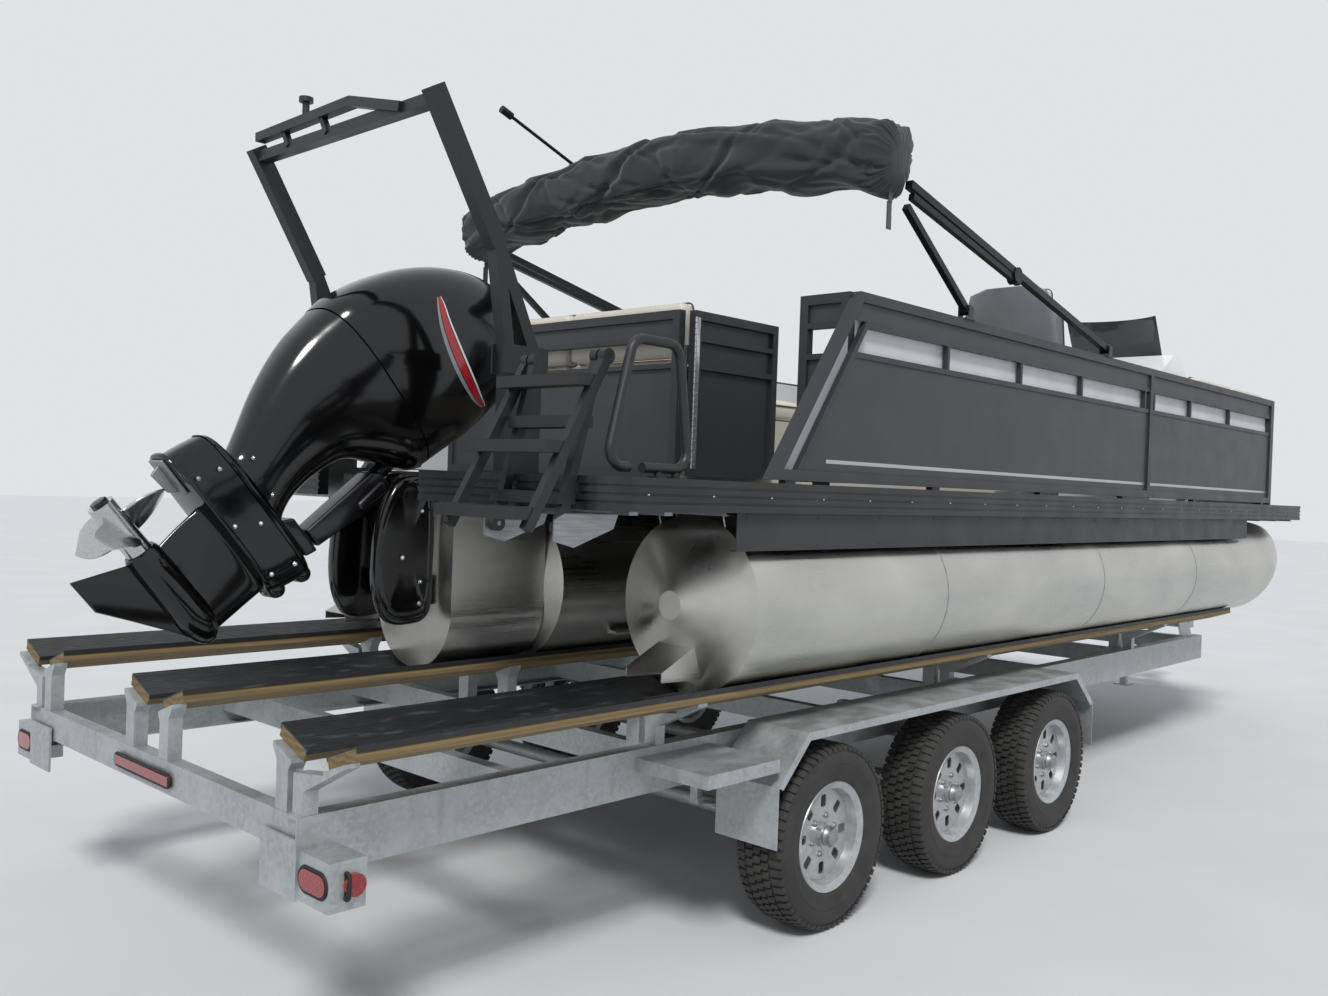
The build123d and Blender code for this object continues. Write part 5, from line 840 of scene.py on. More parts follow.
for name, low_edge, high_edge in STRIPES:
    for side, side_name in SIDES:
        bm = bmesh.new()
        rows = []
        for i, (fore, up) in enumerate(line):
            taper = sin(pi * max(0.02, i / (len(line) - 1))) ** 0.6
            row = []
            for share in (0, 0.25, 0.5, 0.75, 1):
                lift = (low_edge + (high_edge - low_edge) * share) * (0.15 + 0.85 * taper) * STRIPE_WIDENING
                start = motor_place(fore + lift * STRIPE_SLANT, side * OUTSIDE, up + lift)
                hit, normal, _, _ = cowl_tree.ray_cast(start, Vector((0, -side, 0)))
                row.append(bm.verts.new(hit + normal * DECAL_LIFT))
            rows.append(row)
        for first, second in zip(rows, rows[1:]):
            for k in range(4):
                bm.faces.new((first[k], first[k + 1], second[k + 1], second[k]))
        mesh = mesh_from(bm, f"{name}_{side_name}")
        if mesh.polygons[0].normal.y * side < 0:
            mesh.flip_normals()
        new_piece(f"{name}_{side_name}", mesh, name, "motor", 60)
print("stripes", len(STRIPES) * 2)

# %% [markdown]
# The canopy is folded on its bows and wrapped in a canvas boot, tied near its ends. The cloth is loose:
# long diagonal creases run over it, it sags between the bows, and its ends are drawn together by a string.
# It is a closed tube swept along the same arc as the frame's node, whose surface is pushed in along random
# creases. The seed is fixed, so that every run folds the cloth in the same way.

# %% Canvas boot over the folded canopy
import numpy as np

boot_low, boot_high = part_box("canopy_boot")
BOOT_RINGS, BOOT_SIDES, CREASES, BOOT_SEED = 300, 120, 110, 5
BOOT_RISE, FOLD_RADIUS, BOW_PITCH, PLEATS, SQUARENESS = 0.150, 0.14, 0.42, 17, 3.0
boot_x = (boot_low.x + boot_high.x) / 2
boot_half = boot_high.y - 0.02
section_half = (boot_high.x - boot_low.x) / 2
crown_z = boot_high.z - section_half
arc_radius = (boot_half ** 2 + BOOT_RISE ** 2) / (2 * BOOT_RISE)
arc_half = asin(boot_half / arc_radius)
dice = np.random.default_rng(BOOT_SEED)
s_line = np.linspace(-1, 1, BOOT_RINGS)[:, None]
turn = np.linspace(0, 2 * pi, BOOT_SIDES, endpoint=False)[None, :]
length_along = s_line * arc_half * arc_radius
push = np.zeros((BOOT_RINGS, BOOT_SIDES))
for _ in range(CREASES):
    at_s, at_t = dice.uniform(-1.3, 1.3), dice.uniform(0, 2 * pi)
    slope, reach = dice.normal(0, 0.45), dice.uniform(0.18, 0.7)
    width, depth = dice.uniform(0.010, 0.030), dice.uniform(0.004, 0.015)
    around = (turn - at_t + pi) % (2 * pi) - pi
    ahead = length_along - at_s
    across = (around * FOLD_RADIUS - slope * ahead) / sqrt(1 + slope ** 2)
    along = (ahead + slope * around * FOLD_RADIUS) / sqrt(1 + slope ** 2)
    valley = np.exp(-np.abs(across / width) ** 1.3)
    ridges = np.exp(-((np.abs(across) - 1.8 * width) / width) ** 2)
    push += depth * (valley - 0.45 * ridges) * np.exp(-(along / reach) ** 2)
sag = 0.012 * (1 - np.cos(length_along * 2 * pi / BOW_PITCH)) * np.clip(-np.sin(turn), 0, 1)
lumps = 0.010 * np.sin(length_along * 6.1 + 1.0) * np.sin(turn * 2 + 0.6)
lumps += 0.008 * np.sin(length_along * 11 + turn)
edge = 1 - np.abs(s_line)
gather = np.clip(edge / 0.035, 0, 1) ** 0.5
pleats = 0.014 * np.cos(turn * PLEATS) * np.clip(1 - edge / 0.10, 0, 1)
round_x, round_z = (np.sign(way) * np.abs(way) ** (2 / SQUARENESS) for way in (np.cos(turn), np.sin(turn)))
size = section_half * 0.985 - np.clip(push, -0.004, 0.05) - sag - np.abs(lumps) - np.abs(pleats)
size = size * (0.40 + 0.60 * gather)
angle = s_line * arc_half
arc_z = crown_z - arc_radius * (1 - np.cos(angle))
points = np.stack([boot_x + size * round_x,
                   np.sin(angle) * (arc_radius + size * round_z),
                   arc_z + size * round_z * np.cos(angle)], axis=-1)


def cloth_grid(name, points, width_m, length_m):
    """A closed tube of cloth from rings of points, with a UV map in metres, its ends shut."""
    rings, sides = points.shape[:2]
    verts = [tuple(p) for p in points.reshape(-1, 3)]
    faces, uvs = [], []
    for i in range(rings - 1):
        for k in range(sides):
            j = (k + 1) % sides
            faces.append((i * sides + k, i * sides + j, (i + 1) * sides + j, (i + 1) * sides + k))
            u0, u1 = k / sides * width_m, (k + 1) / sides * width_m
            v0, v1 = i / rings * length_m, (i + 1) / rings * length_m
            uvs += [(u0, v0), (u1, v0), (u1, v1), (u0, v1)]
    for first, back in ((0, False), ((rings - 1) * sides, True)):
        order = range(sides) if back else reversed(range(sides))
        faces.append(tuple(first + k for k in order))
        uvs += [(0.1 * cos(2 * pi * k / sides), 0.1 * sin(2 * pi * k / sides)) for k in range(sides)]
    mesh = bpy.data.meshes.new(name)
    mesh.from_pydata(verts, [], faces)
    layer = mesh.uv_layers.new(name="cloth")
    layer.data.foreach_set("uv", [c for uv in uvs for c in uv])
    bm = bmesh.new()
    bm.from_mesh(mesh)
    bmesh.ops.recalc_face_normals(bm, faces=bm.faces)
    bm.to_mesh(mesh)
    bm.free()
    return mesh


boot = new_piece("canopy_cover", cloth_grid("canopy_cover", points, 1.0, 2 * boot_half), "canvas", "canopy",
                 75)
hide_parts("canopy_boot")
print("cover", len(boot.data.polygons), "faces")

# %% [markdown]
# A tail of webbing hangs near each end, where the boot is tied.

# %% Ties of the boot
TIE_SHARE, TIE_HALF, TIE_THICKNESS = 0.958, 0.011, 0.0024
TIE_PATH = ((0, 0, 0.02), (0.004, 0.002, -0.02), (-0.004, 0.004, -0.07), (0.002, 0.0, -0.125))
bm = bmesh.new()
for side in (-1, 1):
    ring_angle = side * TIE_SHARE * arc_half
    centre = Vector((boot_x, sin(ring_angle) * arc_radius, crown_z - arc_radius * (1 - cos(ring_angle))))
    hang = centre + Vector((0.02, 0, -section_half * 0.93))
    path = [hang + Vector(p) for p in TIE_PATH]
    for low, high in zip(path, path[1:]):
        slab_mesh(bm, (min(low.x, high.x) - TIE_HALF, min(low.y, high.y) - TIE_THICKNESS / 2, high.z - 0.001),
                  (max(low.x, high.x) + TIE_HALF, max(low.y, high.y) + TIE_THICKNESS / 2, low.z + 0.001),
                  0.0005)
ties = shaped_piece("cover_ties", bm, "piping", "canopy", 40)
print("ties", len(ties.data.polygons), "faces")

# %% [markdown]
# A trailer tyre has a flat tread of five rows of blocks, wavy grooves between them, slots at the shoulders,
# and a wall with a few raised rings. The carcass is one section turned about the axle. The blocks repeat,
# so Geometry Nodes place them, one template for the middle rows and one for the shoulders. One tyre is
# made, and its mesh is copied to each wheel.

# %% Tyres
WHEELS = [(side, side_name, number) for side, side_name in SIDES for number in (1, 2, 3)]
TREAD_ROWS = (-0.068, -0.034, 0, 0.034, 0.068)
tyre_low, tyre_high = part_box("starboard_tyre_1")
TYRE_RADIUS = (tyre_high.z - tyre_low.z) / 2
TYRE_HALF = (tyre_high.y - tyre_low.y) / 2
BEAD_RADIUS, BEAD_HALF, TREAD_DEPTH, PITCHES = 0.193, TYRE_HALF - 0.030, 0.009, 62


def middle_block(bm):
    """A tread block of the middle rows, slanted across the tyre."""
    slab_mesh(bm, (-0.0145, -0.0125, -0.006), (0.0145, 0.0125, TREAD_DEPTH), 0.0018)
    for vert in bm.verts:
        vert.co.x += vert.co.y * 0.35


def shoulder_block(bm):
    """A tread block of the shoulder, bent down over its outer edge."""
    slab_mesh(bm, (-0.020, -0.0115, -0.006), (0.020, 0.0115, TREAD_DEPTH), 0.0025)
    for vert in bm.verts:
        if vert.co.x > 0:
            vert.co.z -= 0.010 * (vert.co.x / 0.020) ** 2


carcass = bmesh.new()
base = TYRE_RADIUS - TREAD_DEPTH
wall = [(TYRE_HALF - 0.024, base - 0.001), (TYRE_HALF - 0.010, base - 0.010),
        (TYRE_HALF - 0.003, base - 0.028), (TYRE_HALF - 0.0005, base - 0.050), (TYRE_HALF, base - 0.064),
        (TYRE_HALF - 0.0015, base - 0.066), (TYRE_HALF - 0.0015, base - 0.070), (TYRE_HALF, base - 0.072),
        (TYRE_HALF - 0.003, base - 0.090), (TYRE_HALF - 0.010, base - 0.112),
        (TYRE_HALF - 0.010, base - 0.116), (TYRE_HALF - 0.016, BEAD_RADIUS + 0.016),
        (TYRE_HALF - 0.021, BEAD_RADIUS + 0.006), (BEAD_HALF, BEAD_RADIUS)]
profile = [(-along, radius) for along, radius in reversed(wall)] + wall
lathe_mesh(carcass, profile, ORIGIN, Y_AXIS, 124)
for face in [f for f in carcass.faces if len(f.verts) > 4]:
    carcass.faces.remove(face)
inner = [[vert for vert in carcass.verts
          if abs(vert.co.y - y) < 1e-5 and abs(hypot(vert.co.x, vert.co.z) - BEAD_RADIUS) < 1e-4]
         for y in (-BEAD_HALF, BEAD_HALF)]
for row in inner:
    row.sort(key=lambda vert: atan2(vert.co.z, vert.co.x))
for k in range(len(inner[0])):
    j = (k + 1) % len(inner[0])
    carcass.faces.new((inner[0][k], inner[0][j], inner[1][j], inner[1][k]))
carcass_mesh = mesh_from(carcass, "tyre_carcass")

block_rows = {"middle": [], "shoulder": []}
for pitch in range(PITCHES):
    for row, y in enumerate(TREAD_ROWS):
        turn_at = 2 * pi * (pitch + row % 2 / 2) / PITCHES
        aim = Vector((cos(turn_at), 0, sin(turn_at)))
        across = Vector((0, 1 if y >= 0 else -1, 0))
        kind = "shoulder" if row in (0, 4) else "middle"
        where = y + across.y * 0.010 if kind == "shoulder" else y
        block_rows[kind].append((aim * base + Vector((0, where, 0)), aim, across))
parts = []
for kind, build in (("middle", middle_block), ("shoulder", shoulder_block)):
    template = template_object(kind + "_block", build)
    parts.append(place_copies(kind + "_tread", block_rows[kind], template, "rubber", "starboard_wheel_1"))
    bpy.data.objects.remove(template)
joined = bmesh.new()
for mesh in (carcass_mesh, parts[0].data, parts[1].data):
    joined.from_mesh(mesh)
for part in parts:
    bpy.data.objects.remove(part)
tyre_mesh = bpy.data.meshes.new("tyre")
joined.to_mesh(tyre_mesh)
joined.free()

bm = bmesh.new()
HUB_REACH = TYRE_HALF * 0.56
lathe_mesh(bm, [(HUB_REACH - 0.040, 0.038), (HUB_REACH + 0.012, 0.038), (HUB_REACH + 0.016, 0.034),
                (HUB_REACH + 0.034, 0.031), (HUB_REACH + 0.040, 0.022), (HUB_REACH + 0.042, 0.006)], ORIGIN,
           Y_AXIS, 40)
cap_mesh = mesh_from(bm, "hub_cap")
for side, side_name, number in WHEELS:
    low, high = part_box(f"{side_name}_tyre_{number}")
    place, body = Matrix.Translation((low + high) / 2), f"{side_name}_wheel_{number}"
    mesh = tyre_mesh.copy()
    mesh.transform(place)
    piece = new_piece(f"{side_name}_treaded_tyre_{number}", mesh, "rubber", body, 38)
    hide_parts(f"{side_name}_tyre_{number}")
    mesh = cap_mesh.copy()
    mesh.transform(place @ Matrix.Scale(side, 4, Y_AXIS))
    if side < 0:
        mesh.flip_normals()
    new_piece(f"{side_name}_hub_cap_{number}", mesh, "mill", body, 40)
print("tyre", len(tyre_mesh.polygons), "faces each")

# %% [markdown]
# The cushions are foam in marine vinyl: crowned between their seams, with a cord of piping sewn round the
# top edge. A cloth simulation makes that crown. Each pad starts as a slightly small rounded block, its
# seams are pinned, and pressure swells the vinyl between them. All pads are blown up together, then held
# inside the frame's own boxes, because the real pads touch side by side. Only the crown may rise out, by 8
# mm.

# %% Pads blown up between their seams
PAD_VOXEL, PAD_INSET, PAD_CORNER, PAD_SWELL, PAD_FRAMES = 0.020, 0.007, 0.030, 0.018, 20
SEAM_REACH, SEAM_BAND, CHANNEL_DEPTH = 0.014, 0.012, 0.012
PAD_PRESSURE, PAD_GAP, PAD_CROWN = 4.0, 0.0005, 0.008


def pad_blank(size, channels):
    """A rounded block about the origin as an even net, with its seams and channels marked for pinning."""
    half = Vector(size) / 2 - Vector((PAD_INSET,) * 3)
    bm = bmesh.new()
    slab_mesh(bm, -half, half, min(PAD_CORNER, 0.4 * min(half)))
    block = scene_object("pad_blank", mesh_from(bm, "pad_blank"))
    net = block.modifiers.new("net", "REMESH")
    net.mode, net.voxel_size, net.use_smooth_shade = "VOXEL", PAD_VOXEL, True
    depsgraph = bpy.context.evaluated_depsgraph_get()
    mesh = bpy.data.meshes.new_from_object(block.evaluated_get(depsgraph), depsgraph=depsgraph)
    bpy.data.objects.remove(block)
    pins = []
    for vert in mesh.vertices:
        x, y, z = abs(vert.co.x), abs(vert.co.y), vert.co.z
        rim = min(half.x - x, half.y - y) < SEAM_REACH and abs(z - (half.z - PAD_CORNER)) < SEAM_BAND
        floor = z < -half.z + SEAM_BAND
        channel = z > half.z - SEAM_BAND and any(abs(vert.co.x - c) < PAD_VOXEL * 0.6 for c in channels)
        pins.append(rim or floor or channel)
        if channel:
            vert.co.z -= CHANNEL_DEPTH
    return mesh, pins


def blow_up(name, pads):
    """Pads given as (place matrix, size, channels) in one object, swollen by cloth pressure."""
    bm, pinned, limits = bmesh.new(), [], []
    for place, size, channels in pads:
        mesh, pins = pad_blank(size, channels)
        mesh.transform(place)
        limits += [(place, Vector(size) / 2)] * len(mesh.vertices)
        pinned += pins
        bm.from_mesh(mesh)
        bpy.data.meshes.remove(mesh)
    mesh = bpy.data.meshes.new(name)
    bm.to_mesh(mesh)
    bm.free()
    start = [vert.co.copy() for vert in mesh.vertices]
    pad = scene_object(name, mesh)
    group = pad.vertex_groups.new(name="seams")
    group.add([i for i, held in enumerate(pinned) if held], 1.0, "REPLACE")
    cloth = pad.modifiers.new("swell", "CLOTH")
    cloth.settings.vertex_group_mass = "seams"
    cloth.settings.use_pressure = True
    cloth.settings.uniform_pressure_force = PAD_PRESSURE
    cloth.settings.quality = 3
    cloth.settings.effector_weights.gravity = 0.0
    for frame_number in range(1, PAD_FRAMES + 1):
        bpy.context.scene.frame_set(frame_number)
    depsgraph = bpy.context.evaluated_depsgraph_get()
    swollen = [vert.co.copy() for vert in pad.evaluated_get(depsgraph).data.vertices]
    pad.modifiers.clear()
    bpy.context.scene.frame_set(1)
    for vert, before, after, (place, half) in zip(mesh.vertices, start, swollen, limits):
        step = after - before
        if step.length > PAD_SWELL:
            step *= PAD_SWELL / step.length
        local = place.inverted() @ (before + step)
        local.x = max(-half.x + PAD_GAP, min(half.x - PAD_GAP, local.x))
        local.y = max(-half.y + PAD_GAP, min(half.y - PAD_GAP, local.y))
        local.z = max(-half.z, min(half.z + PAD_CROWN, local.z))
        vert.co = place @ local
    bpy.data.objects.remove(pad)
    return mesh


def piping_round(bm, place, size, radius):
    """A cord of piping round a pad's top seam."""
    half = Vector(size) / 2
    path = rounded_loop(half.x - PAD_INSET * 0.4, half.y - PAD_INSET * 0.4, PAD_CORNER, 15)
    cord_loop(bm, [place @ Vector((x, y, half.z - PAD_CORNER - 0.004)) for x, y in path], radius)


def island_boxes(node):
    """The lowest and highest corners of each closed form in a node."""
    bm = bmesh.new()
    bm.from_mesh(nodes[node].data)
    bmesh.ops.remove_doubles(bm, verts=bm.verts, dist=1e-5)
    left, boxes = set(bm.verts), []
    while left:
        stack, found = [left.pop()], []
        while stack:
            vert = stack.pop()
            found.append(vert.co.copy())
            for edge in vert.link_edges:
                other = edge.other_vert(vert)
                if other in left:
                    left.remove(other)
                    stack.append(other)
        boxes.append((Vector(min(c[i] for c in found) for i in range(3)),
                      Vector(max(c[i] for c in found) for i in range(3))))
    bm.free()
    return boxes


UPRIGHT_HEIGHT, CHANNELLED_LENGTH, LOUNGE_PIPING, CHAIR_PIPING = 0.2, 0.55, 0.0042, 0.0032
pads, cords = [], bmesh.new()
for low, high in island_boxes("lounge_cushions"):
    size = high - low
    upright, lie = size.z > UPRIGHT_HEIGHT, Matrix.Identity(4)
    if upright and size.x < size.y:
        lie, size = Matrix.Rotation(radians(90), 4, "Y"), size.zyx
    elif upright:
        lie, size = Matrix.Rotation(radians(90 if low.y > 0 else -90), 4, "X"), size.xzy
    place = Matrix.Translation((low + high) / 2) @ lie
    pads.append((place, size, [0.0] if size.x > CHANNELLED_LENGTH else []))
    piping_round(cords, place, size, LOUNGE_PIPING)
mesh = blow_up("lounge_pads", pads)
lounge = new_piece("lounge_pads", mesh, "vinyl_cream", ROOT, 80)
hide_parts("lounge_cushions")
shaped_piece("lounge_piping", cords, "piping", ROOT, 60)
print("lounge pads", len(pads), len(mesh.polygons), "faces")

# %% [markdown]
# The helm chair has a bucket of grey vinyl with cream centre pads, raised sides and a headroll. It sits on
# a flat pan, and a closed shell carries the pads of its back.

# %% Helm chair
chair_low, chair_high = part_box("helm_chair")
chair_x, chair_y = chair_high.x - 0.290, (chair_low.y + chair_high.y) / 2
seat_z = chair_low.z + 0.011
back_base = Vector((chair_x - 0.175, chair_y, seat_z + 0.12))
BACK_LEAN, BACK_FACE = Vector((-0.174, 0, 0.985)), Vector((0.985, 0, 0.174))


def back_place(up, out):
    """A place on the leaning back: up along it, and out toward the sitter, whom the pad's top faces."""
    turn = Matrix((BACK_LEAN, Y_AXIS, BACK_FACE)).transposed().to_4x4()
    return Matrix.Translation(back_base + BACK_LEAN * up + BACK_FACE * out) @ turn


def seat_place(x, y, z):
    """A place on the seat, from the middle of its pan."""
    return Matrix.Translation(centre + Vector((x, y, z)))


centre = Vector((chair_x, chair_y, seat_z))
chair_cream = [(seat_place(0.035, 0, 0.088), (0.46, 0.34, 0.12), [-0.05, 0.08]),
               (back_place(0.24, 0.030), (0.36, 0.33, 0.10), [0.0]),
               (back_place(0.50, 0.035), (0.15, 0.42, 0.10), [])]
chair_grey = [(seat_place(0.025, side * 0.215, 0.092), (0.50, 0.095, 0.135), []) for side in (-1, 1)]
chair_grey += [(back_place(0.24, 0.035) @ Matrix.Translation((0, side * 0.212, 0)), (0.42, 0.095, 0.125), [])
               for side in (-1, 1)]
chair_grey.append((seat_place(0.262, 0, 0.075), (0.055, 0.42, 0.13), []))
bm = bmesh.new()
for name, group, key in (("chair_cream_pads", chair_cream, "vinyl_cream"),
                         ("chair_grey_pads", chair_grey, "vinyl_grey")):
    for place, size, _ in group:
        piping_round(bm, place, size, CHAIR_PIPING)
    mesh = blow_up(name, group)
    piece = new_piece(name, mesh, key, "helm_chair", 80)
    if key == "vinyl_cream":
        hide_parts("helm_chair")
shaped_piece("chair_piping", bm, "piping", "helm_chair", 60)
bm = bmesh.new()
slab_mesh(bm, centre + Vector((-0.24, -0.25, 0.008)), centre + Vector((0.28, 0.25, 0.036)), 0.012)
slab_mesh(bm, centre + Vector((-0.150, -0.150, -0.011)), centre + Vector((0.150, 0.150, 0.010)), 0.002)
shell = [(-0.10, 0.235), (0.05, 0.255), (0.30, 0.262), (0.47, 0.252), (0.57, 0.215), (0.60, 0.12)]
rings = []
for up, half in shell:
    ring = []
    for k in range(28):
        t = 2 * pi * k / 28
        out = -0.035 + 0.028 * power(sin(t), 0.6)
        ring.append(back_base + BACK_LEAN * up + BACK_FACE * out + Vector((0, half * power(cos(t), 0.5), 0)))
    rings.append(ring)
skin_rings(bm, rings)
shaped_piece("chair_shell", bm, "vinyl_grey", "helm_chair", 50)
print("helm chair made")

# %% [markdown]
# The motor hangs between two curved cheeks that are bolted through the transom. Their outline is a few
# points with a smooth curve through them, thickened and rounded, which looks like the cast and painted
# covers of the real bracket.

# %% Clamp brackets
CHEEKS = [(-3.66, 1.612), (-3.75, 1.628), (-3.815, 1.592), (-3.862, 1.500), (-3.888, 1.370), (-3.884, 1.215),
          (-3.835, 1.105), (-3.745, 1.085), (-3.652, 1.120), (-3.640, 1.300), (-3.640, 1.480)]
CHEEK_INNER, CHEEK_OUTER = 0.120, 0.166
clamp_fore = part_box("clamp_brackets")[1].x - 0.0005
bm = bmesh.new()
outline = smooth_rows(CHEEKS, 5, closed=True)
middle = (sum(x for x, z in outline) / len(outline), sum(z for x, z in outline) / len(outline))
LEVELS = [(CHEEK_INNER, 0.95), (CHEEK_INNER + 0.004, 0.99), (CHEEK_INNER + 0.010, 1.0),
          (CHEEK_OUTER - 0.016, 1.0), (CHEEK_OUTER - 0.006, 0.975), (CHEEK_OUTER - 0.001, 0.93),
          (CHEEK_OUTER - 0.001, 0.80), (CHEEK_OUTER - 0.007, 0.77), (CHEEK_OUTER - 0.007, 0.30)]
for side in (-1, 1):
    rings = [[(min(middle[0] + (x - middle[0]) * scale, clamp_fore), side * y,
               middle[1] + (z - middle[1]) * scale)
              for x, z in outline] for y, scale in LEVELS]
    skin_rings(bm, rings)
for low_z, high_z in ((1.150, 1.260), (1.500, 1.560)):
    slab_mesh(bm, (clamp_fore - 0.0215, -CHEEK_INNER - 0.004, low_z),
              (clamp_fore, CHEEK_INNER + 0.004, high_z), 0.004)
lathe_mesh(bm, [(-0.184, 0.016), (-0.182, 0.019), (0.182, 0.019), (0.184, 0.016)], tilt_place, Y_AXIS, 32)
cheeks = shaped_piece("clamp_cheeks", bm, "motor_gloss", ROOT, 40)
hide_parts("clamp_brackets")
places = []
for side in (-1, 1):
    for x, z in ((-3.70, 1.16), (-3.70, 1.24), (-3.70, 1.50), (-3.78, 1.33)):
        places.append((Vector((x, side * (CHEEK_OUTER - 0.007), z)), Vector((0, side, 0)), Vector(X_AXIS)))
place_copies("bracket_bolts", places, NUT, "bright_steel", ROOT, size=0.8)
print("cheeks", len(cheeks.data.polygons), "faces")

# %% [markdown]
# Small trim finishes the fences: a silver stripe on each side and a full-length piano hinge on the open gate.
# The hinge is a leaf on the gate's face, with its screws, and a row of knuckles that repeat along the pin.

# %% Stripe and hinge
panel_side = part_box("fence_panels")[1].y
STRIPE_Z, STRIPE_HALF, STRIPE_START, STRIPE_END = 1.735, 0.007, -2.72, 2.66
bm = bmesh.new()
for side in (-1, 1):
    y = sorted((side * panel_side, side * (panel_side + 0.0012)))
    for start, end in ((STRIPE_START, 0.355), (0.425, STRIPE_END)):
        slab_mesh(bm, (start, y[0], STRIPE_Z - STRIPE_HALF), (end, y[1], STRIPE_Z + STRIPE_HALF), 0.0004)
shaped_piece("side_stripes", bm, "stripe_silver", ROOT, 40)
gate_low, gate_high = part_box("after_gate")
hinge_x, hinge_y = gate_low.x + 0.010, gate_low.y - 0.004
KNUCKLE, KNUCKLE_GAP, PIN_RADIUS = 0.024, 0.002, 0.005
bm = bmesh.new()
slab_mesh(bm, (hinge_x, hinge_y + 0.0022, gate_low.z + 0.03),
          (hinge_x + 0.030, hinge_y + 0.0040, gate_high.z - 0.03), 0.0004)
z = gate_low.z + 0.03
while z + KNUCKLE < gate_high.z - 0.03:
    rows = [(0, PIN_RADIUS - 0.001), (0.001, PIN_RADIUS), (KNUCKLE - 0.001, PIN_RADIUS),
            (KNUCKLE, PIN_RADIUS - 0.001)]
    lathe_mesh(bm, rows, (hinge_x, hinge_y, z), Z_AXIS, 16)
    z += KNUCKLE + KNUCKLE_GAP
shaped_piece("gate_piano_hinge", bm, "bright_steel", "after_gate", 40)
rows = row_of((hinge_x + 0.019, hinge_y + 0.0022, gate_low.z + 0.05),
              (hinge_x + 0.019, hinge_y + 0.0022, gate_high.z - 0.05),
              0.05, (0, -1, 0), X_AXIS)
place_copies("hinge_screws", rows, SCREW, "mill", "after_gate", size=0.6)

# %% [markdown]
# Each wheel is held by six nuts on studs, on a circle round the hub. Lamps sit in black rubber rings.

# %% Wheel nuts and lamp rings
NUT_CIRCLE, NUT_COUNT, DISC_OUT, FIRST_NUT = 0.072, 6, 0.0415, 0.3
RING_REACH, RING_RADIUS, RING_DEPTH = 0.004, 0.0055, 0.006
for side, side_name, number in WHEELS:
    low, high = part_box(f"{side_name}_tyre_{number}")
    centre = (low + high) / 2 + Vector((0, side * DISC_OUT, 0))
    places = []
    for k in range(NUT_COUNT):
        t = 2 * pi * k / NUT_COUNT + FIRST_NUT
        out = Vector((cos(t), 0, sin(t)))
        places.append((centre + out * NUT_CIRCLE, Vector((0, side, 0)), out))
    place_copies(f"{side_name}_wheel_nuts_{number}", places, NUT, "mill", f"{side_name}_wheel_{number}")
bm = bmesh.new()
for low, high in island_boxes("lamps"):
    centre = (low + high) / 2
    half_y, half_z = (high.y - low.y) / 2 + RING_REACH, (high.z - low.z) / 2 + RING_REACH
    path = rounded_loop(half_y, half_z, min(half_y, half_z) * 0.98, 10)
    cord_loop(bm, [(low.x + RING_DEPTH, centre.y + y, centre.z + z) for y, z in path], RING_RADIUS)
shaped_piece("lamp_rings", bm, "soft_grip", ROOT, 60)
print("wheel nuts and lamp rings made")

# %% [markdown]
# The helm has a dash with three round gauges and a row of switches. Each gauge is a turned bezel with a
# black dial and a domed lens. A ray that looks forward and down at the console finds where each one sits.

# %% Helm details
console_low, console_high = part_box("helm_console")
console_tree = surface_of(nodes["helm_console"].data)
GAUGE_PITCH, SWITCH_PITCH, LOOK_BACK = 0.13, 0.055, 0.30


def on_console(across, above, fall):
    """Where a ray that looks forward and falls meets the console, and which way the face looks there."""
    start = Vector((console_low.x - LOOK_BACK, (console_low.y + console_high.y) / 2 + across,
                    console_high.z + above))
    return console_tree.ray_cast(start, Vector((1, 0, -fall)).normalized())[:2]


bezels, dials, lenses, switches = (bmesh.new() for _ in range(4))
for step in (-1, 0, 1):
    hit, normal = on_console(step * GAUGE_PITCH, 0.04, 0.42)
    lathe_mesh(bezels, [(-0.001, 0.050), (0.006, 0.052), (0.010, 0.049), (0.010, 0.044), (0.004, 0.043)],
               hit, normal, 40)
    lathe_mesh(dials, [(0.0035, 0.043), (0.0050, 0.042)], hit, normal, 40)
    lathe_mesh(lenses, [(0.0055, 0.043), (0.0085, 0.036), (0.0105, 0.020), (0.0112, 0.004)], hit, normal, 40)
for k in range(6):
    hit = on_console((k - 2.5) * SWITCH_PITCH, -0.12, 0.20)[0]
    slab_mesh(switches, hit + Vector((-0.012, -0.011, -0.016)), hit + Vector((0.004, 0.011, 0.016)), 0.004)
for name, bm, key in (("gauge_bezels", bezels, "bright_steel"), ("gauge_dials", dials, "dark_gap"),
                      ("gauge_lenses", lenses, "smoked"), ("dash_switches", switches, "soft_grip")):
    shaped_piece(name, bm, key, ROOT, 40)
print("helm details made")

# %% [markdown]
# The casting that carries the motor hangs from the tilt tube: a round collar between the clamp cheeks,
# and a tapering arm that reaches back to the steering yoke. It tilts with the motor, so it rides the swivel.
# Its upper back corner is cut away, because the cowl's lower edge swings past it when the motor is steered.

# %% Swivel casting
bm = bmesh.new()
collar = [(-0.104, 0.020), (-0.068, 0.020), (-0.066, 0.033), (-0.062, 0.036), (0.062, 0.036), (0.066, 0.033),
          (0.068, 0.020), (0.104, 0.020)]
lathe_mesh(bm, collar, tilt_place, Y_AXIS, 40)
motor_plate(bm, [(10, -30), (-80, -36), (-105, -66), (-105, -400), (-30, -400), (-5, -200)], 46, 12)
motor_plate(bm, [(-8, -60), (-60, -52), (-52, -190), (-20, -190)], 58, 12)
casting = shaped_piece("swivel_casting", bm, "motor_satin", "swivel", 40)
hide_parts("swivel_bracket")
print("swivel casting", len(casting.data.polygons), "faces")

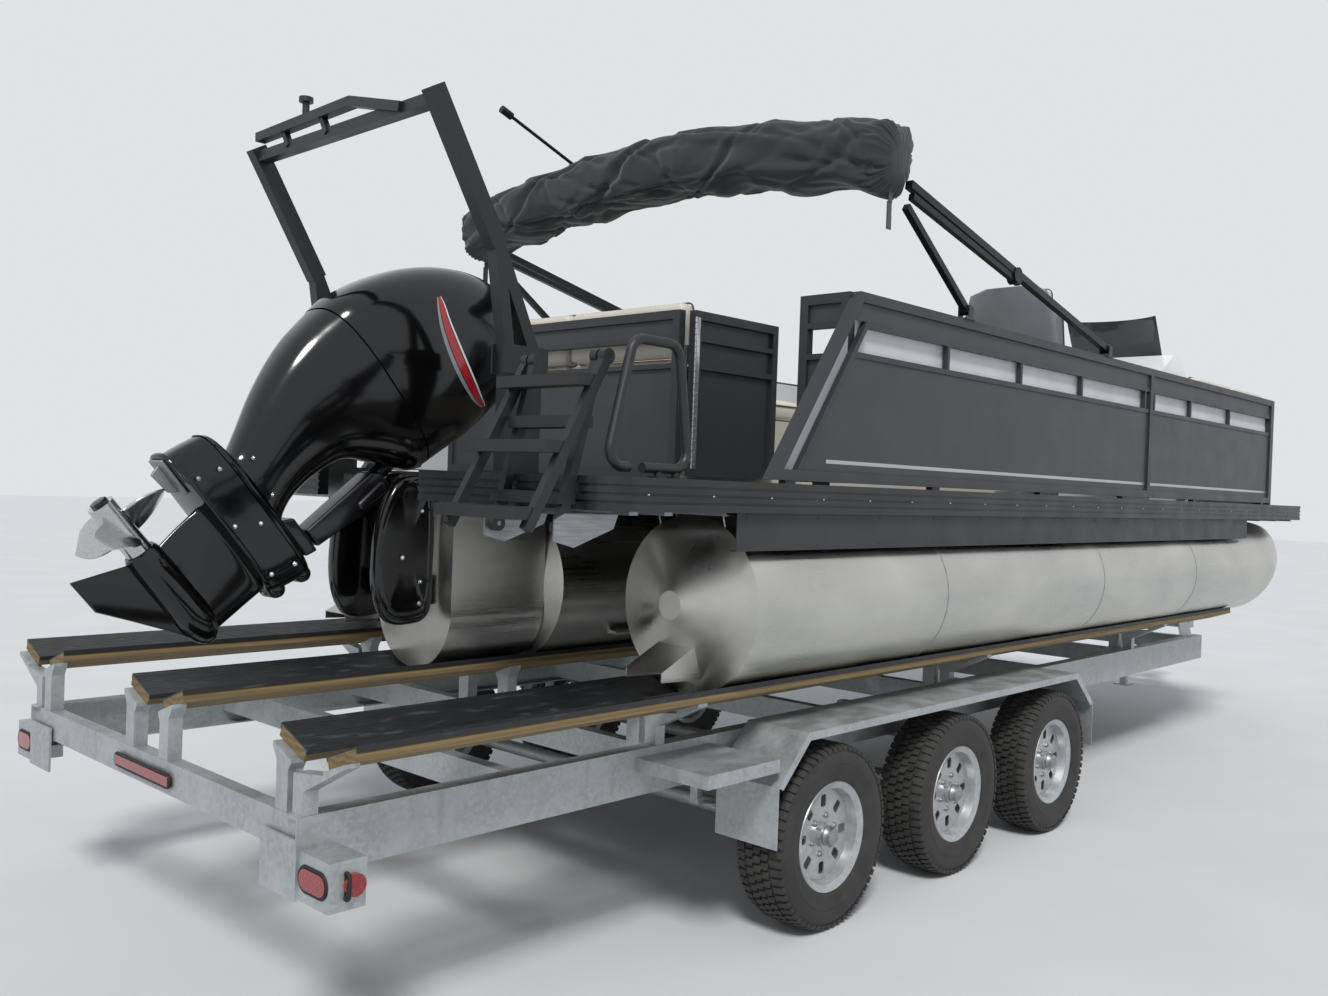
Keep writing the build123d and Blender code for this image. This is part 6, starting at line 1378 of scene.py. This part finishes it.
# %% [markdown]
# A wet foot slips on bare tube, so every ladder step wears ribs of rubber on the face that is on top when
# the ladder is down. The first stage turns over on its way down, so its ribs face the floor while it is
# folded. One rib is modelled and the copier lays it seven times on each step, on the body of that step's
# stage.

# %% Ribs on the ladder steps
RIB_PITCH, STEP_HALF_HEIGHT = 0.009, 0.018
STEP_SIDE = -0.995
FIRST_STAGE_STEPS = [(-3.8888, 1.5775), (-3.8275, 1.8096)]
SECOND_STAGE_STEPS = [(-3.8548, 1.9335), (-3.9693, 1.7282), (-4.0789, 1.5317)]


def step_rib(bm):
    """One rib across a step."""
    slab_mesh(bm, (-0.15, -0.0016, -0.0010), (0.15, 0.0016, 0.0016), 0.0006)


RIB = template_object("rib_template", step_rib)
for name, steps, facing, body in (("first_step_ribs", FIRST_STAGE_STEPS, -1, "ladder_first_stage"),
                                  ("second_step_ribs", SECOND_STAGE_STEPS, 1, "ladder_second_stage")):
    places = [(Vector((x + number * RIB_PITCH, STEP_SIDE, z + facing * STEP_HALF_HEIGHT)), (0, 0, facing),
               Y_AXIS)
              for x, z in steps for number in range(-3, 4)]
    place_copies(name, places, RIB, "soft_grip", body)

# %% [markdown]
# The stage is a plain pale floor under plain soft light, as in a studio: one broad sun from over the
# camera's shoulder, so that the near side and the stern are lit as in daylight, and an even sky for the
# rest. The camera, and whatever metal or glass shows, see a paler sky than the one that lights the boat, so
# the light stays level.

# %% Floor, light and background
FLOOR_HALF, FLOOR_CLOUD_MM = 60, 900
SUN_WAY, SUN_STRENGTH, SUN_WIDTH = Vector((0.62, 0.52, -0.85)), 2.3, radians(14)
floor_mesh = bpy.data.meshes.new("studio_floor")
corners = [(x * FLOOR_HALF, y * FLOOR_HALF, 0) for x, y in ((-1, -1), (1, -1), (1, 1), (-1, 1))]
floor_mesh.from_pydata(corners, [], [(0, 1, 2, 3)])
floor = scene_object("studio_floor", floor_mesh)
tree = new_finish("floor", "pale_studio_floor")
tint = laid_over(tree, surface_grain(tree, FLOOR_CLOUD_MM, detail=3), shade("#D5D6D6"), shade("#DADBDB"))
fill_shader(tree, {"Base Color": tint, "Roughness": 0.85, "Specular IOR Level": 0.2})
floor_mesh.materials.append(finish["floor"])
floor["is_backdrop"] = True

sun = scene_object("soft_sun", bpy.data.lights.new("soft_sun", "SUN"))
sun.data.energy, sun.data.angle = SUN_STRENGTH, SUN_WIDTH
sun.rotation_euler = SUN_WAY.to_track_quat("-Z", "Y").to_euler()

world = bpy.data.worlds.new("even_sky")
world.use_nodes = True
bpy.context.scene.world = world
sky = world.node_tree
sky.nodes.clear()
path = add_node(sky, "ShaderNodeLightPath")
seen = add_node(sky, "ShaderNodeMath", {0: path.outputs["Is Camera Ray"], 1: path.outputs["Is Glossy Ray"]},
                operation="MAXIMUM")
shown = add_node(sky, "ShaderNodeMath", {0: seen.outputs[0], 1: path.outputs["Is Transmission Ray"]},
                 operation="MAXIMUM")
light = add_node(sky, "ShaderNodeBackground", {"Color": shade("#DDE4EC"), "Strength": 0.62})
pale = add_node(sky, "ShaderNodeBackground", {"Color": shade("#E9ECEF"), "Strength": 0.92})
both = add_node(sky, "ShaderNodeMixShader", {0: shown.outputs[0], 1: light.outputs[0], 2: pale.outputs[0]})
add_node(sky, "ShaderNodeOutputWorld", {"Surface": both.outputs[0]})
print("stage ready")

# %% Measure and finish
for template in (SCREW, NUT, RIB):
    bpy.data.objects.remove(template)
low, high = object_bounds()
print("visual box", [round(v, 3) for v in low], [round(v, 3) for v in high])
